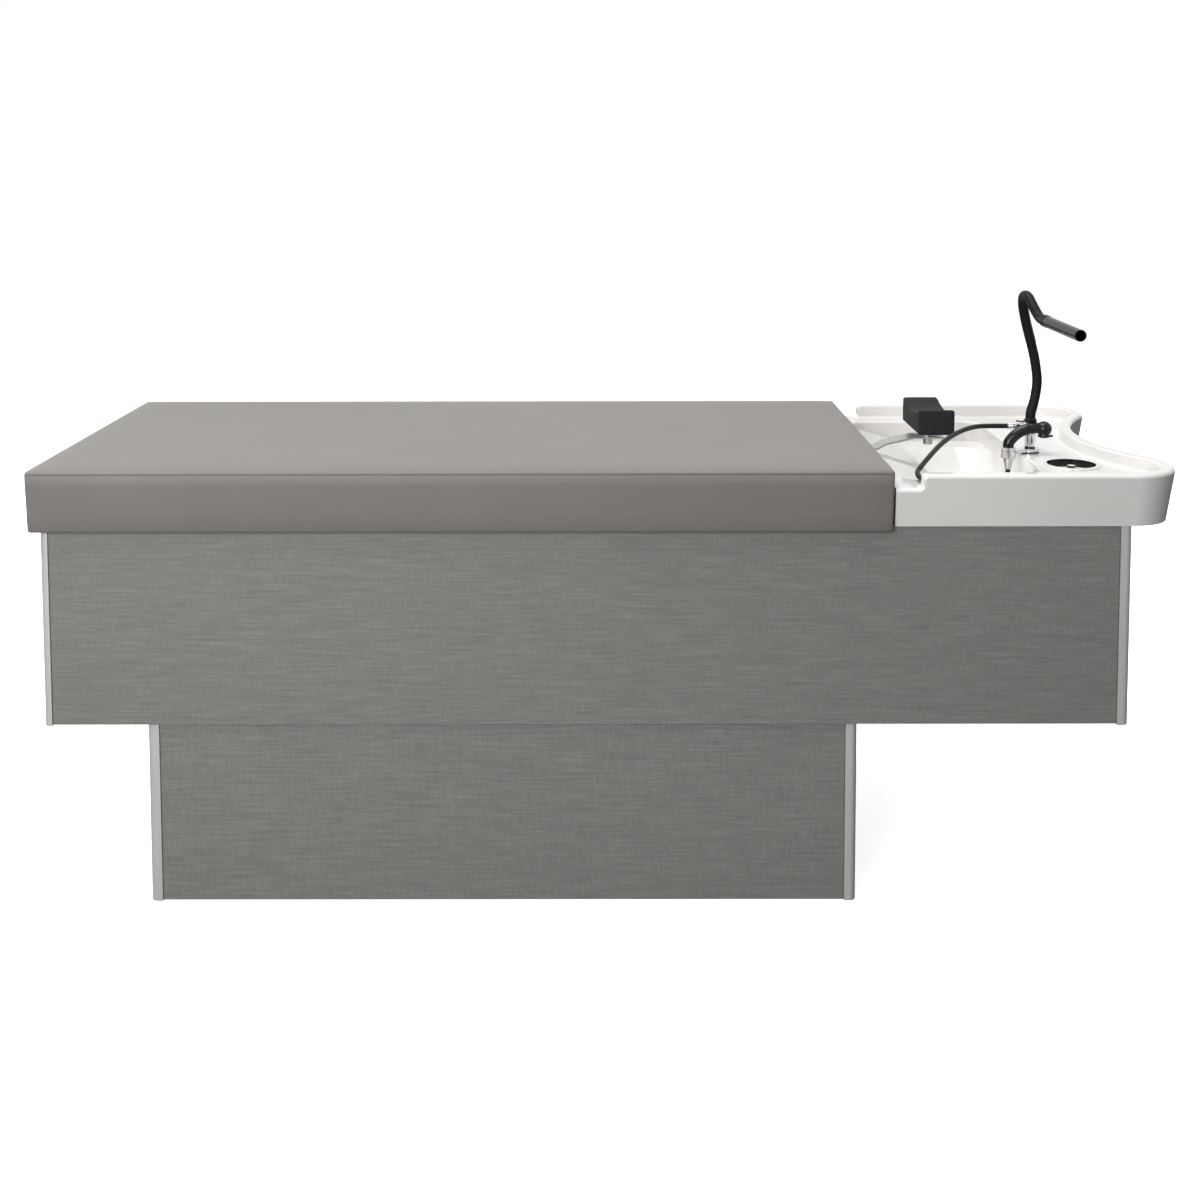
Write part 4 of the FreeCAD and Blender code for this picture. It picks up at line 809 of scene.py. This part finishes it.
# %% Surround it with a white room
GLOSS_ROOM = 0.75
world = bpy.data.worlds.new("white_room")
bpy.context.scene.world = world
world.use_nodes = True
tree = world.node_tree
tree.nodes.clear()
ray = add(tree, "ShaderNodeLightPath")
heading = add(tree, "ShaderNodeSeparateXYZ", {"Vector": add(tree, "ShaderNodeTexCoord").outputs["Generated"]})
fade = add(tree, "ShaderNodeMapRange", {"Value": heading.outputs["X"], "From Min": -1.0, "From Max": 1.0,
                                        "To Min": 0.30, "To Max": 0.10})
room = add(tree, "ShaderNodeMath", {0: ray.outputs["Is Glossy Ray"], 1: GLOSS_ROOM,
                                    2: fade.outputs["Result"]}, operation="MULTIPLY_ADD")
seen = add(tree, "ShaderNodeBackground", {"Color": (1, 1, 1, 1), "Strength": 1.0})
lit = add(tree, "ShaderNodeBackground", {"Color": (1, 1, 1, 1), "Strength": room.outputs["Value"]})
both = add(tree, "ShaderNodeMixShader", {"Fac": ray.outputs["Is Camera Ray"]})
tree.links.new(lit.outputs["Background"], both.inputs[1])
tree.links.new(seen.outputs["Background"], both.inputs[2])
add(tree, "ShaderNodeOutputWorld", {"Surface": both.outputs["Shader"]})
print("room", world.name)

# %% [markdown]
# ## The floor
# The cut-out's floor is pure white, but a white floor would throw too much light back on the fronts. So it
# is white to the camera's own rays and a mid grey to the light that bounces. A little glow for the camera
# lifts the unit's shadow, which the cut-out has lost, so that only a trace is left to ground it.

# %% Lay the floor
FLOOR_GLOW = 0.85
ground = bmesh.new()
bmesh.ops.create_grid(ground, x_segments=8, y_segments=8, size=7)
ground_mesh = bpy.data.meshes.new("studio_floor")
ground.to_mesh(ground_mesh)
ground.free()
floor = bpy.data.objects.new("studio_floor", ground_mesh)
bpy.context.scene.collection.objects.link(floor)
floor_finish, tree, shader = finish("pale_studio_floor", Roughness=0.8, Specular_IOR_Level=0.2,
                                    Emission_Color=(1, 1, 1, 1))
ray = add(tree, "ShaderNodeLightPath")
shade = add(tree, "ShaderNodeMixRGB", {"Fac": ray.outputs["Is Camera Ray"], "Color1": linear("#646464"),
                                       "Color2": linear("#fcfcfc")})
glow = add(tree, "ShaderNodeMath", {0: ray.outputs["Is Camera Ray"], 1: FLOOR_GLOW}, operation="MULTIPLY")
feed(tree, shader, {"Base Color": shade.outputs["Color"], "Emission Strength": glow.outputs["Value"]})
ground_mesh.materials.append(floor_finish)
bpy.context.scene.view_settings.view_transform = "Standard"
print("floor laid")
